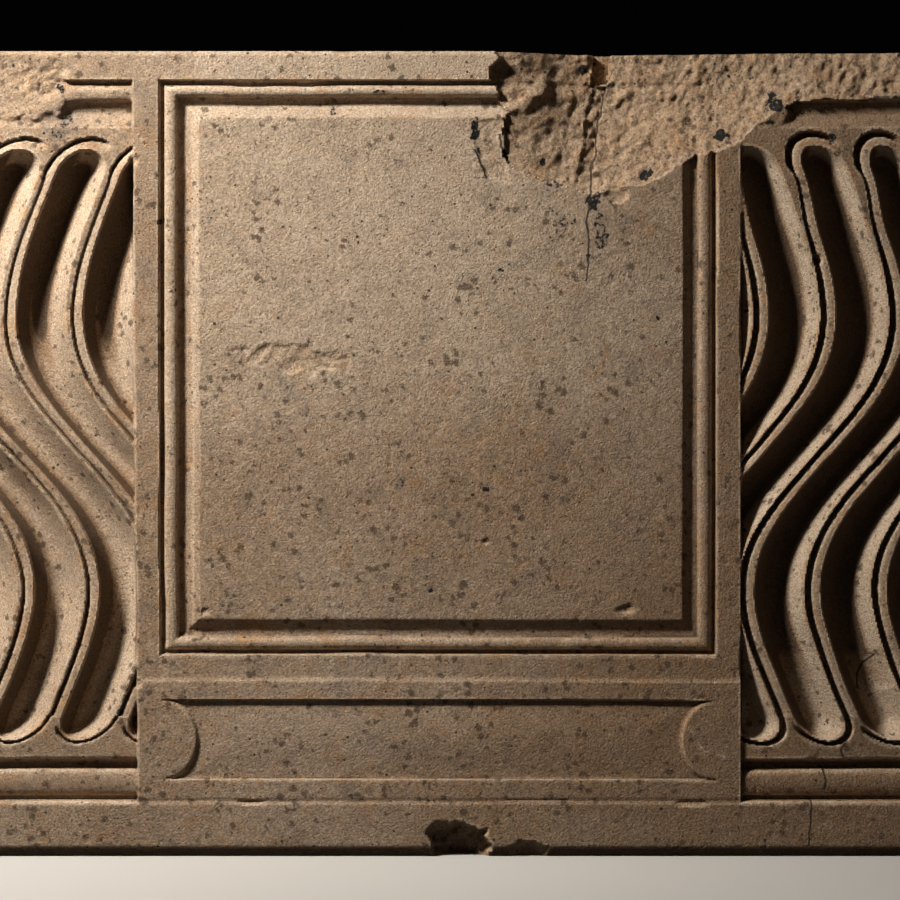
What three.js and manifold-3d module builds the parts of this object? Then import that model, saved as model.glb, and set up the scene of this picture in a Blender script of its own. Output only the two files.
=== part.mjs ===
// A Roman marble sarcophagus: a hollowed chest whose front carries S-shaped flutes (strigils) on both
// sides of a framed panel, a flat lid let into the rim, and iron cramps set in lead that hold it down.
// Millimetres, +Z up. The chest stands on z = 0, centred on x = 0 and y = 0, and its front looks along -Y.
import * as THREE from "three";
import { mergeVertices } from "three/addons/utils/BufferGeometryUtils.js";
import Module from "manifold-3d";

const wasm = await Module();
wasm.setup();

// Chest
const chestLength = 2100;
const chestDepth = 600;
const chestHeight = 560;
const wallThickness = 90;
const floorThickness = 100;
const cavityCornerRadius = 55;
const headRestLength = 260;
const headRestHeight = 45;
const headRestSlope = 60;

// Lid, and the rebate of the rim that takes it
const lidThickness = 60;
const lidLedge = 45;
const lidSideGap = 3;
const lidBelowRim = 1;
const lidEdgeBevel = 6;
const leverNotchWidth = 80;
const leverNotchDepth = 22;
const leverNotchHeight = 26;

// Iron cramps, their channels and their lead
const crampFromEnd = 350;
const crampWidth = 16;
const crampThickness = 9;
const crampReach = 130;
const crampLegLength = 46;
const crampBendRadius = 12;
const crampInset = 1;
const channelSideGap = 2;
const socketSize = 28;
const socketDepth = 44;
const rimSocketFromFace = 24;
const seatGap = 0.3;

// Frame of the front: bands, panel and base block
const plinthHeight = 38;
const plinthBevelHeight = 8;
const plinthBevelDepth = 5;
const topBandHeight = 20;
const cornerBandWidth = 40;
const panelBlockWidth = 422;
const panelBandWidth = 17;
const panelFrameBottom = 140;
const baseBlockTop = 123.5;
const bandSetback = 2;
const baseSetback = 0.8;
const panelSetback = 2;
const fieldSetback = 3;

// Moulding between a band and what it frames: groove, round, hollow and slope. The slope has what the
// shares of the others leave. Under the strigils the round is a stout one, close to a narrow hollow.
const panelMouldingWidth = 26.5;
const fieldMouldingWidth = 33;
const footMouldingWidth = 30.5;
const mouldingShares = { groove: 0.13, round: 0.34, hollow: 0.21 };
const footMouldingShares = { groove: 0.13, round: 0.6, hollow: 0.15 };
const mouldingGrooveDepth = 7;
const mouldingRoundSetback = 3;
const mouldingHollowDepth = 10;

// Sunk field of the base block, with a half-round boss at each end
const baseFieldBottom = 53;
const baseFieldTop = 109;
const baseFieldSetback = 4.5;
const baseBossReach = 25;

// Strigils
const strigilPitch = 46.5;
const strigilTop = 493.5;
const strigilBottom = 80.5;
const strigilDepth = 18;
const strigilRim = 6;
const strigilCrest = 1;
const strigilEndHeight = 17;
const strigilGroove = 4.9;
const strigilGrooveDepth = 8;
const firstStrigilLeft = -195;
const firstStrigilRight = 214;
const sweepDrift = 35.5;
const sweepSwing = 43;
const sweepSharpening = 5.5;
const sweepLagShare = 0.02;

// Broken upper edge, and the cutting of a cramp that is lost
const breakStart = 25;
const breakLength = 365;
const breakDrop = 98.5;
const breakDepth = 27;
const lostCrampAt = 114;
const lostCrampWidth = 14;
const lostCrampHeight = 23;
const lostCrampDepth = 33;

// One overrun takes every cutter clear of the surface that it cuts.
const overrun = 8;

// Counts
const channelArcSteps = 4;
const channelEndSteps = 2;
const strigilSideSteps = 10;
const grooveEndSteps = 3;
const mouldingArcSteps = 4;
const bossArcSteps = 12;
const cornerArcSteps = 5;
const bendSteps = 5;

// Planes that several pieces share
const frontFace = -chestDepth / 2;
const backFace = chestDepth / 2;
const rightEnd = chestLength / 2;
const rebateFloor = chestHeight - lidBelowRim - lidThickness;
const panelEdge = panelBlockWidth / 2;
const bandBottom = chestHeight - topBandHeight;
const fieldEnd = rightEnd - cornerBandWidth;
const crampTop = chestHeight - lidBelowRim - crampInset;
const crampUnderside = crampTop - crampThickness;
const channelFloor = crampUnderside - seatGap;
const channelWidth = strigilPitch - strigilRim - strigilCrest - strigilGroove;

const marble = new THREE.MeshStandardMaterial({ color: 0xc9ab88, roughness: 0.82, metalness: 0 });
const lidMarble = new THREE.MeshStandardMaterial({ color: 0xbfa383, roughness: 0.86, metalness: 0 });
const iron = new THREE.MeshStandardMaterial({ color: 0x4a3024, roughness: 0.8, metalness: 0.35 });
const lead = new THREE.MeshStandardMaterial({ color: 0x80827f, roughness: 0.55, metalness: 0.6 });

// A closed geometry as a solid.
function solidOf(geometry) {
  const bare = geometry.clone();
  bare.deleteAttribute("normal");
  bare.deleteAttribute("uv");
  const merged = mergeVertices(bare);
  return new wasm.Manifold(
    new wasm.Mesh({
      numProp: 3,
      vertProperties: new Float32Array(merged.attributes.position.array),
      triVerts: new Uint32Array(merged.index.array),
    }),
  );
}

// A solid as a named mesh.
function pieceOf(name, solid, material) {
  const made = solid.getMesh();
  const geometry = new THREE.BufferGeometry();
  geometry.setAttribute("position", new THREE.BufferAttribute(made.vertProperties, made.numProp));
  geometry.setIndex(new THREE.BufferAttribute(made.triVerts, 1));
  geometry.computeVertexNormals();
  const mesh = new THREE.Mesh(geometry, material);
  mesh.name = name;
  return mesh;
}

// A box between two corners.
function boxBetween(low, high) {
  const geometry = new THREE.BoxGeometry(high[0] - low[0], high[1] - low[1], high[2] - low[2]);
  geometry.translate((low[0] + high[0]) / 2, (low[1] + high[1]) / 2, (low[2] + high[2]) / 2);
  return solidOf(geometry);
}

// A shape drawn in x and z, as the front is seen, carried back from yFront to yBack.
function slabOfFront(shape, yFront, yBack) {
  const geometry = new THREE.ExtrudeGeometry(shape, {
    depth: yBack - yFront,
    bevelEnabled: false,
    curveSegments: bossArcSteps,
  });
  geometry.rotateX(Math.PI / 2);
  geometry.translate(0, yBack, 0);
  return solidOf(geometry);
}

// A shape drawn in y and z, carried along x from xLeft to xRight.
function slabAcross(shape, xLeft, xRight) {
  const geometry = new THREE.ExtrudeGeometry(shape, {
    depth: xRight - xLeft,
    bevelEnabled: false,
    curveSegments: bendSteps,
  });
  geometry.rotateZ(Math.PI / 2);
  geometry.rotateY(Math.PI / 2);
  geometry.translate(xLeft, 0, 0);
  return solidOf(geometry);
}

// A solid through rings of equally many points, with each end closed as a fan. Seen from beyond the
// last ring, a ring's points run counterclockwise.
function loft(rings) {
  const around = rings[0].length;
  const index = [];
  for (let ring = 0; ring + 1 < rings.length; ring += 1) {
    for (let point = 0; point < around; point += 1) {
      const here = ring * around + point;
      const next = ring * around + ((point + 1) % around);
      index.push(here, next, next + around, here, next + around, here + around);
    }
  }
  const last = (rings.length - 1) * around;
  for (let point = 1; point + 1 < around; point += 1) {
    index.push(0, point + 1, point);
    index.push(last, last + point, last + point + 1);
  }
  const geometry = new THREE.BufferGeometry().setFromPoints(rings.flat());
  geometry.setIndex(index);
  return solidOf(geometry);
}

// A closed moulding carried round a rectangle with mitred corners. A profile's points are [inset from
// the rectangle, depth behind the front face]. The foot may have insets of its own at the same depths.
function mouldingRound(rectangle, profile, footProfile = profile) {
  const rings = [
    ["left", "bottom", 1, 1],
    ["right", "bottom", -1, 1],
    ["right", "top", -1, -1],
    ["left", "top", 1, -1],
  ].map(([side, level, inwards, upwards]) => {
    const levelProfile = level === "bottom" ? footProfile : profile;
    return profile.map(([inset, depth], place) => [
      rectangle[side] + inwards * inset,
      frontFace + depth,
      rectangle[level] + upwards * levelProfile[place][0],
    ]);
  });
  const around = profile.length;
  const index = [];
  for (let corner = 0; corner < rings.length; corner += 1) {
    for (let point = 0; point < around; point += 1) {
      const here = corner * around + point;
      const beside = corner * around + ((point + 1) % around);
      const ahead = (((corner + 1) % rings.length) - corner) * around;
      index.push(here, beside, beside + ahead, here, beside + ahead, here + ahead);
    }
  }
  const geometry = new THREE.BufferGeometry();
  geometry.setAttribute("position", new THREE.Float32BufferAttribute(rings.flat(2), 3));
  geometry.setIndex(index);
  return solidOf(geometry);
}

// The cutter's outline for a moulding of this width: from a band, down a groove, over a round, through
// a hollow and up a slope to a surface that lies at innerSetback.
function mouldingProfile(width, shares, innerSetback) {
  const roundStart = width * shares.groove;
  const roundWidth = width * shares.round;
  const hollowStart = roundStart + roundWidth;
  const hollowWidth = width * shares.hollow;
  const points = [
    [0, -overrun],
    [0, mouldingGrooveDepth],
    [roundStart, mouldingGrooveDepth],
  ];
  for (let step = 1; step < mouldingArcSteps; step += 1) {
    const turn = (Math.PI * step) / mouldingArcSteps;
    points.push([
      roundStart + (roundWidth * (1 - Math.cos(turn))) / 2,
      mouldingGrooveDepth - (mouldingGrooveDepth - mouldingRoundSetback) * Math.sin(turn),
    ]);
  }
  for (let step = 0; step <= mouldingArcSteps; step += 1) {
    const turn = (Math.PI * step) / mouldingArcSteps / 2;
    points.push([
      hollowStart + hollowWidth * (1 - Math.cos(turn)),
      mouldingGrooveDepth + (mouldingHollowDepth - mouldingGrooveDepth) * Math.sin(turn),
    ]);
  }
  points.push([width, innerSetback], [width, -overrun]);
  return points;
}

// How far a strigil's middle has moved sideways at a share t of the way down.
function sweepAt(t) {
  const late = t - sweepLagShare * Math.sin(Math.PI * t);
  const turn = 2 * Math.PI * late;
  return sweepDrift * late - sweepSwing * Math.sin(turn) + sweepSharpening * Math.sin(2 * turn);
}

// The middle of a strigil at height z. sense is 1 where it swings left first, and -1 where it swings right.
function strigilMiddle(topAt, sense, z) {
  return topAt + sense * sweepAt((strigilTop - z) / (strigilTop - strigilBottom));
}

// The hollow of one strigil, with a rounded end above and below.
function channelCutter(topAt, sense) {
  const stations = [];
  for (let step = channelEndSteps; step > 0; step -= 1) {
    const rise = Math.sin((Math.PI * step) / 2 / (channelEndSteps + 0.5));
    stations.push([strigilTop - strigilEndHeight * (1 - rise), Math.sqrt(1 - rise * rise)]);
  }
  const straight = strigilTop - strigilBottom - 2 * strigilEndHeight;
  for (let step = 0; step <= strigilSideSteps; step += 1) {
    const z = strigilTop - strigilEndHeight - (straight * step) / strigilSideSteps;
    stations.push([z, 1]);
  }
  for (let step = 1; step <= channelEndSteps; step += 1) {
    const fall = Math.sin((Math.PI * step) / 2 / (channelEndSteps + 0.5));
    stations.push([strigilBottom + strigilEndHeight * (1 - fall), Math.sqrt(1 - fall * fall)]);
  }
  const rings = stations.map(([z, openness]) => {
    const middle = strigilMiddle(topAt, sense, z);
    const halfWidth = (channelWidth / 2) * openness;
    const surface = frontFace + fieldSetback;
    const ring = [
      new THREE.Vector3(middle + halfWidth, surface - overrun, z),
      new THREE.Vector3(middle - halfWidth, surface - overrun, z),
    ];
    for (let step = 0; step <= channelArcSteps; step += 1) {
      const turn = (Math.PI * step) / channelArcSteps;
      ring.push(
        new THREE.Vector3(
          middle - halfWidth * Math.cos(turn),
          surface + strigilDepth * openness * Math.sin(turn),
          z,
        ),
      );
    }
    return ring;
  });
  return loft(rings);
}

// The path of the groove that runs over one strigil's top, down its left side and round the foot of its
// left neighbour.
function groovePath(topAt, sense) {
  const upperEnd = strigilTop - strigilEndHeight;
  const lowerEnd = strigilBottom + strigilEndHeight;
  const rimReach = channelWidth / 2 + strigilRim + strigilGroove / 2;
  const crestReach = channelWidth / 2 + strigilCrest + strigilGroove / 2;
  const upperRise = strigilEndHeight + strigilRim + strigilGroove / 2;
  const lowerFall = strigilEndHeight + strigilCrest + strigilGroove / 2;
  const hook = (Math.PI * 5) / 6;
  const path = [];
  for (let step = 0; step < grooveEndSteps; step += 1) {
    const turn = Math.PI - hook + (hook * step) / grooveEndSteps;
    const z = upperEnd + upperRise * Math.sin(turn);
    const reach = turn < Math.PI / 2 ? crestReach : rimReach;
    path.push([strigilMiddle(topAt, sense, z) + reach * Math.cos(turn), z]);
  }
  for (let step = 0; step <= strigilSideSteps; step += 1) {
    const z = upperEnd + ((lowerEnd - upperEnd) * step) / strigilSideSteps;
    path.push([strigilMiddle(topAt, sense, z) - rimReach, z]);
  }
  for (let step = 1; step <= grooveEndSteps; step += 1) {
    const turn = (hook * step) / grooveEndSteps;
    const z = lowerEnd - lowerFall * Math.sin(turn);
    const reach = turn < Math.PI / 2 ? crestReach : rimReach;
    path.push([strigilMiddle(topAt - strigilPitch, sense, z) + reach * Math.cos(turn), z]);
  }
  return path;
}

// A V-shaped cut along a path of [x, z] points.
function grooveCutter(path) {
  const surface = frontFace + fieldSetback;
  const halfWidth = ((strigilGroove / 2) * (strigilGrooveDepth + overrun)) / strigilGrooveDepth;
  const rings = path.map(([x, z], place) => {
    const [xBefore, zBefore] = path[Math.max(place - 1, 0)];
    const [xAfter, zAfter] = path[Math.min(place + 1, path.length - 1)];
    const along = new THREE.Vector2(xAfter - xBefore, zAfter - zBefore).normalize();
    const xAside = -along.y * halfWidth;
    const zAside = along.x * halfWidth;
    return [
      new THREE.Vector3(x + xAside, surface - overrun, z + zAside),
      new THREE.Vector3(x - xAside, surface - overrun, z - zAside),
      new THREE.Vector3(x, surface + strigilGrooveDepth, z),
    ];
  });
  return loft(rings);
}

// Everything that is cut into one side of the front: the sunk field, its moulding and its strigils.
function fieldCutter(side, firstStrigil) {
  const sense = -side;
  const inner = panelEdge;
  const outer = fieldEnd - fieldMouldingWidth;
  const across = (near, far, yBack, low, high) =>
    boxBetween(
      [Math.min(side * near, side * far), frontFace - 2 * overrun, low],
      [Math.max(side * near, side * far), yBack, high],
    );
  const low = plinthHeight + footMouldingWidth;
  const high = bandBottom - fieldMouldingWidth;
  const rectangle = {
    left: side > 0 ? 0 : -fieldEnd,
    right: side > 0 ? fieldEnd : 0,
    bottom: plinthHeight,
    top: bandBottom,
  };
  const moulding = mouldingRound(
    rectangle,
    mouldingProfile(fieldMouldingWidth, mouldingShares, fieldSetback),
    mouldingProfile(footMouldingWidth, footMouldingShares, fieldSetback),
  );
  let cutter = moulding.intersect(across(inner, rightEnd, 0, 0, chestHeight));
  cutter = cutter.add(across(inner, outer, frontFace + fieldSetback, low, high));
  let carving = null;
  const most = Math.ceil((outer - inner + sweepDrift + sweepSwing) / strigilPitch);
  for (let count = -1; count <= most; count += 1) {
    const topAt = firstStrigil + side * count * strigilPitch;
    const strigil = channelCutter(topAt, sense).add(grooveCutter(groovePath(topAt, sense)));
    carving = carving ? carving.add(strigil) : strigil;
  }
  return cutter.add(carving.intersect(across(inner, outer, 0, low, high)));
}

// The panel's moulding, and the slight setback of the panel inside it.
function panelCutter() {
  const rectangle = {
    left: panelBandWidth - panelEdge,
    right: panelEdge - panelBandWidth,
    bottom: panelFrameBottom,
    top: bandBottom,
  };
  return mouldingRound(rectangle, mouldingProfile(panelMouldingWidth, mouldingShares, panelSetback));
}

// The sunk field of the base block, less the half-round boss that stands at each end of it.
function baseFieldCutter() {
  const end = panelEdge - panelBandWidth;
  const middle = (baseFieldBottom + baseFieldTop) / 2;
  const halfHeight = (baseFieldTop - baseFieldBottom) / 2;
  const field = new THREE.Shape();
  field.moveTo(-end, baseFieldBottom);
  field.lineTo(end, baseFieldBottom);
  field.absellipse(end, middle, baseBossReach, halfHeight, -Math.PI / 2, -Math.PI * 1.5, true, 0);
  field.lineTo(-end, baseFieldTop);
  field.absellipse(-end, middle, baseBossReach, halfHeight, Math.PI / 2, -Math.PI / 2, true, 0);
  return slabOfFront(field, frontFace - overrun, frontFace + baseFieldSetback);
}

// The break along the upper edge. Its outline on the front is [share of its length, share of its drop],
// and each point goes back to its own share of the depth.
function breakCutter() {
  const outlineShares = [
    [0.03, 0.05, 0.85],
    [0.015, 0.3, 0.9],
    [0, 0.6, 1],
    [0.03, 0.88, 0.86],
    [0.08, 0.85, 1],
    [0.135, 0.955, 0.93],
    [0.22, 1, 1],
    [0.29, 0.965, 0.9],
    [0.355, 0.86, 1],
    [0.41, 0.74, 0.84],
    [0.475, 0.63, 0.95],
    [0.525, 0.55, 0.8],
    [0.58, 0.42, 0.86],
    [0.62, 0.355, 0.7],
    [0.705, 0.33, 0.62],
    [0.805, 0.25, 0.5],
    [0.92, 0.12, 0.38],
    [1, 0.03, 0.3],
  ];
  const bendShare = 0.45;
  const bendDepthShare = 0.72;
  const rings = outlineShares.map(([along, down, back], place) => {
    const x = breakStart + breakLength * along;
    const xTop = breakStart + (breakLength * (along * 2 + place / (outlineShares.length - 1))) / 3;
    const low = chestHeight - breakDrop * down;
    const bend = low + breakDrop * down * bendShare;
    const deep = breakDepth * back;
    return [
      new THREE.Vector3(xTop, frontFace - overrun, chestHeight + overrun),
      new THREE.Vector3(x, frontFace - overrun, low),
      new THREE.Vector3(x, frontFace + bandSetback, low),
      new THREE.Vector3((x + xTop) / 2, frontFace + deep * bendDepthShare, bend),
      new THREE.Vector3(xTop, frontFace + deep, chestHeight + overrun),
    ];
  });
  return loft(rings);
}

// The hollow of the chest, with a sloped and raised head rest left at one end, and the lid's rebate.
function cavityCutter() {
  const halfLength = rightEnd - wallThickness;
  const halfDepth = backFace - wallThickness;
  const plan = new THREE.Shape();
  plan.moveTo(-halfLength + cavityCornerRadius, -halfDepth);
  plan.lineTo(halfLength - cavityCornerRadius, -halfDepth);
  const corners = [
    [1, -1, -Math.PI / 2],
    [1, 1, 0],
    [-1, 1, Math.PI / 2],
    [-1, -1, Math.PI],
  ];
  for (const [xSide, ySide, start] of corners) {
    const x = xSide * (halfLength - cavityCornerRadius);
    const y = ySide * (halfDepth - cavityCornerRadius);
    plan.absarc(x, y, cavityCornerRadius, start, start + Math.PI / 2, false);
  }
  const hollow = new THREE.ExtrudeGeometry(plan, {
    depth: rebateFloor + overrun - floorThickness,
    bevelEnabled: false,
    curveSegments: cornerArcSteps,
  });
  hollow.translate(0, 0, floorThickness);
  const restFoot = -halfLength + headRestLength + headRestSlope;
  const restTop = floorThickness + headRestHeight;
  const rest = new THREE.Shape();
  rest.moveTo(-rightEnd, 0);
  rest.lineTo(restFoot, 0);
  rest.lineTo(restFoot, floorThickness);
  rest.lineTo(restFoot - headRestSlope, restTop);
  rest.lineTo(-rightEnd, restTop);
  const rebateEnd = rightEnd - lidLedge;
  const rebateSide = backFace - lidLedge;
  return solidOf(hollow)
    .subtract(slabOfFront(rest, frontFace, backFace))
    .add(boxBetween([-rebateEnd, -rebateSide, rebateFloor], [rebateEnd, rebateSide, chestHeight + overrun]));
}

// Where the cramps stand: x, and 1 for the back or -1 for the front.
const crampPlaces = [
  ["front_left", crampFromEnd - rightEnd, -1],
  ["front_right", rightEnd - crampFromEnd, -1],
  ["back_left", crampFromEnd - rightEnd, 1],
  ["back_right", rightEnd - crampFromEnd, 1],
];

// The y of a cramp's leg in the rim and of its leg in the lid.
function legPlaces(side) {
  const rim = side * (backFace - rimSocketFromFace);
  return [rim, rim - side * crampReach];
}

// The channel across rim and lid for one cramp, and the sockets of its two legs.
function crampCutter(x, side) {
  const legs = legPlaces(side);
  const halfChannel = crampWidth / 2 + channelSideGap;
  const halfSocket = socketSize / 2;
  const channel = boxBetween(
    [x - halfChannel, Math.min(...legs) - halfSocket, channelFloor],
    [x + halfChannel, Math.max(...legs) + halfSocket, chestHeight + overrun],
  );
  return legs.reduce(
    (cutter, y) =>
      cutter.add(
        boxBetween(
          [x - halfSocket, y - halfSocket, channelFloor - socketDepth],
          [x + halfSocket, y + halfSocket, chestHeight + overrun],
        ),
      ),
    channel,
  );
}

function makeChest() {
  let stone = boxBetween([-rightEnd, frontFace, 0], [rightEnd, backFace, chestHeight]);
  const above = boxBetween(
    [-rightEnd - overrun, frontFace - overrun, plinthHeight],
    [rightEnd + overrun, frontFace + bandSetback, chestHeight + overrun],
  );
  const baseBlock = boxBetween(
    [-panelEdge, frontFace + baseSetback, 0],
    [panelEdge, backFace, baseBlockTop],
  );
  stone = stone.subtract(above.subtract(baseBlock));
  const bevel = new THREE.Shape();
  bevel.moveTo(frontFace - overrun, -overrun);
  bevel.lineTo(frontFace + plinthBevelDepth * (1 + overrun / plinthBevelHeight), -overrun);
  bevel.lineTo(frontFace, plinthBevelHeight);
  bevel.lineTo(frontFace - overrun, plinthBevelHeight);
  stone = stone.subtract(slabAcross(bevel, -rightEnd - overrun, rightEnd + overrun));
  stone = stone.subtract(cavityCutter());
  for (const [, x, side] of crampPlaces) {
    stone = stone.subtract(crampCutter(x, side));
  }
  stone = stone.subtract(panelCutter());
  stone = stone.subtract(baseFieldCutter());
  stone = stone.subtract(fieldCutter(-1, firstStrigilLeft));
  stone = stone.subtract(fieldCutter(1, firstStrigilRight));
  stone = stone.subtract(breakCutter());
  const lostCramp = boxBetween(
    [lostCrampAt - lostCrampWidth / 2, frontFace - overrun, chestHeight - lostCrampHeight],
    [lostCrampAt + lostCrampWidth / 2, frontFace + lostCrampDepth, chestHeight + overrun],
  );
  return pieceOf("chest", stone.subtract(lostCramp), marble);
}

// The lid lies in the rebate, its upper arrises bevelled, with a notch for a lever at each end.
function makeLid() {
  const end = rightEnd - lidLedge - lidSideGap;
  const side = backFace - lidLedge - lidSideGap;
  const low = rebateFloor + seatGap;
  const high = chestHeight - lidBelowRim;
  const outline = (inset) => [
    [inset - end, inset - side],
    [end - inset, inset - side],
    [end - inset, side - inset],
    [inset - end, side - inset],
  ];
  const ringAt = (inset, z) => outline(inset).map(([x, y]) => new THREE.Vector3(x, y, z));
  let stone = loft([ringAt(0, low), ringAt(0, high - lidEdgeBevel), ringAt(lidEdgeBevel, high)]);
  for (const [, x, place] of crampPlaces) {
    stone = stone.subtract(crampCutter(x, place));
  }
  for (const place of [-1, 1]) {
    const notch = boxBetween(
      [place * end - leverNotchDepth, -leverNotchWidth / 2, high - leverNotchHeight],
      [place * end + leverNotchDepth, leverNotchWidth / 2, high + overrun],
    );
    stone = stone.subtract(notch);
  }
  return pieceOf("lid", stone, lidMarble);
}

// A flat iron bar bent down at both ends, seen from the side.
function makeCramp(name, x, side) {
  const legs = legPlaces(side);
  const left = Math.min(...legs) - crampThickness / 2;
  const right = Math.max(...legs) + crampThickness / 2;
  const foot = crampUnderside - crampLegLength + crampThickness;
  const outline = new THREE.Shape();
  outline.moveTo(left, foot);
  outline.lineTo(left + crampThickness, foot);
  outline.lineTo(left + crampThickness, crampUnderside);
  outline.lineTo(right - crampThickness, crampUnderside);
  outline.lineTo(right - crampThickness, foot);
  outline.lineTo(right, foot);
  outline.absarc(right - crampBendRadius, crampTop - crampBendRadius, crampBendRadius, 0, Math.PI / 2, false);
  outline.absarc(
    left + crampBendRadius,
    crampTop - crampBendRadius,
    crampBendRadius,
    Math.PI / 2,
    Math.PI,
    false,
  );
  const bar = slabAcross(outline, x - crampWidth / 2, x + crampWidth / 2);
  return pieceOf("cramp_" + name, bar, iron);
}

// The lead that was poured round one leg, up to the floor of the channel.
function makeLead(name, x, y) {
  const half = socketSize / 2 - seatGap;
  const foot = crampUnderside - crampLegLength + crampThickness;
  const block = boxBetween(
    [x - half, y - half, channelFloor - socketDepth + seatGap],
    [x + half, y + half, channelFloor],
  );
  const leg = boxBetween(
    [x - crampWidth / 2 - seatGap, y - crampThickness / 2 - seatGap, foot - seatGap],
    [x + crampWidth / 2 + seatGap, y + crampThickness / 2 + seatGap, chestHeight],
  );
  return pieceOf(name, block.subtract(leg), lead);
}

const sarcophagus = new THREE.Group();
sarcophagus.name = "sarcophagus";
sarcophagus.add(makeChest(), makeLid());
for (const [name, x, side] of crampPlaces) {
  const [rim, inLid] = legPlaces(side);
  sarcophagus.add(
    makeCramp(name, x, side),
    makeLead("rim_lead_" + name, x, rim),
    makeLead("lid_lead_" + name, x, inLid),
  );
}

export default sarcophagus;
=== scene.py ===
import math

import bpy
import numpy as np
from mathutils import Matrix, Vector


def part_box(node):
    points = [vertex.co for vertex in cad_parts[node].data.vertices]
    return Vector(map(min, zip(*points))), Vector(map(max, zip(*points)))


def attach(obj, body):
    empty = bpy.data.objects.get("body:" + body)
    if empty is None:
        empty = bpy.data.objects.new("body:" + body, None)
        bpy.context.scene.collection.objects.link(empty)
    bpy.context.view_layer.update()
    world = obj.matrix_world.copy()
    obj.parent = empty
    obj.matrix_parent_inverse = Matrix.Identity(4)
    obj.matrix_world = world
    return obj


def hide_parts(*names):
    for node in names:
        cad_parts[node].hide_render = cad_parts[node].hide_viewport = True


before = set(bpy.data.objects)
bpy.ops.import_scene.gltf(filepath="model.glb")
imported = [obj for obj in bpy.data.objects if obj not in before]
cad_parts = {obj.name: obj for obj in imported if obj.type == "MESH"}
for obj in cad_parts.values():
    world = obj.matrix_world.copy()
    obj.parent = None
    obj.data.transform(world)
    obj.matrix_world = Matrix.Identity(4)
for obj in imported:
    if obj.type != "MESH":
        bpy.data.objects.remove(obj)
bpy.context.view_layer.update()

# Lengths are in millimetres, and MM turns them into Blender's metres.
MM = 0.001


def node_box(node):
    """A CAD node's lowest and highest corner, in millimetres."""
    low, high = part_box(node)
    return np.array(low) / MM, np.array(high) / MM


CHEST_LOW, CHEST_HIGH = node_box("chest")
LID_LOW, LID_HIGH = node_box("lid")
FRONT = CHEST_LOW[1]
BACK = CHEST_HIGH[1]
END = CHEST_HIGH[0]
HEIGHT = CHEST_HIGH[2]

# Chest: walls, and the sizes of the carved front
WALL = 90.0
FLOOR = 100.0
CAVITY_CORNER = 55.0
HEAD_REST_LENGTH = 260.0
HEAD_REST_HEIGHT = 45.0
HEAD_REST_SLOPE = 60.0
LID_GAP = 3.0
PLINTH = 38.0
PLINTH_BEVEL = 8.0
TOP_BAND = 20.0
CORNER_BAND = 40.0
BLOCK_HALF = 211.0
BLOCK_LEAN = 2.0
PANEL_LEAN = 3.0
PANEL_BAND = 17.0
PANEL_BOTTOM = 140.0
BASE_BLOCK_TOP = 123.5
BAND_SETBACK = 2.3
BASE_SETBACK = 0.7
PANEL_SETBACK = 2.0
FIELD_SETBACK = 3.0
BASE_FIELD = (53.2, 109.0)
BASE_FIELD_SETBACK = 3.6
BASE_BOSS = 25.0

# Mouldings: the widths of groove, round, hollow and slope, from the band inwards
PANEL_TOP = (4.0, 7.8, 5.2, 9.2)
PANEL_LEFT = (3.6, 9.6, 5.1, 10.0)
PANEL_RIGHT = (3.5, 9.8, 5.1, 5.8)
PANEL_FOOT = (3.4, 9.2, 5.2, 7.4)
FIELD_TOP = (3.8, 11.0, 8.2, 10.2)
FIELD_FOOT = (3.9, 18.2, 4.6, 3.4)
GROOVE_DEPTH = 7.5
ROUND_SETBACK = 2.8
ROUND_FALL = 4.0
HOLLOW_DEPTH = 10.0
SHALLOW_DEPTH = 6.8

# Strigils
PITCH = 46.5
STRIGIL_TOP = 493.5
STRIGIL_FOOT = 80.5
CHANNEL_TOPS = (491.5, 494.5)
STRIGIL_DEPTH = 17.0
RIM = 5.6
RIM_FALL = 2.0
CREST = 0.8
STRIGIL_GROOVE = 4.9
GROOVE_CUT = 8.0
HEAD_NARROWING = (0.0, 2.5)
GROOVE_OPENS = ((30.0, 140.0), (12.0, 90.0))
GROOVE_SHARES = (0.62, 1.0)
ROUND_END = 17.0
DEEPEST = -0.12
FIRST_LEFT = -195.0
FIRST_RIGHT = 214.0
CHANNEL = PITCH - RIM - CREST - STRIGIL_GROOVE
SWEEP_DRIFT = 35.5
SWEEP_SWING = 43.0
SWEEP_SHARPENING = 5.5
SWEEP_LAG_SHARE = 0.02
# How a hollow's walls steepen, and how much deeper the left field is at its ends
STEEPNESS = 2.2
STEEPNESS_SWING = 0.5
STEEPNESS_TURN = 3.0
HEAD_STEEPNESS = 0.9
HEAD_LENGTH = 45.0
DEEPENING = 1.15
CROSSING_LOSS = 0.4
CROSSING_SHARE = 0.45
CROSSING_REACH = 0.15
WIDTH_SHARE = 0.03
WIDTH_TURN = 2.3
# The thin groove's walls, and where it narrows and ends round a strigil's head and foot
GROOVE_ARRIS = 0.9
GROOVE_WALLS = 4.5
ARCH_GROOVE = (-7.0, 5.0)
FOOT_GROOVE_SHARE = 0.62
THIN_SHARE = 0.4
SHALLOW_SHARE = 0.3
TAPER_TOP = (0.75, 1.35)
TAPER_FOOT = (-2.85, -2.25)
WORN_ARCH = 30.0
RIM_EDGE = 0.5

# Camera: the photograph's width on the chest, and how far off it was taken
PICTURE_WIDTH = 625.0
CAMERA_AWAY = 2350.0
CAMERA_X = 8.3
CAMERA_Z = 282.5
SENSOR = 36.0
PIXEL = PICTURE_WIDTH / 900
PICTURE_MIDDLE = 438.0
PICTURE_FOOT = 857.0


def at(px, py):
    """The x and z on the chest's front, in millimetres, of a pixel of the photograph."""
    return (px - PICTURE_MIDDLE) * PIXEL, (PICTURE_FOOT - py) * PIXEL


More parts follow.
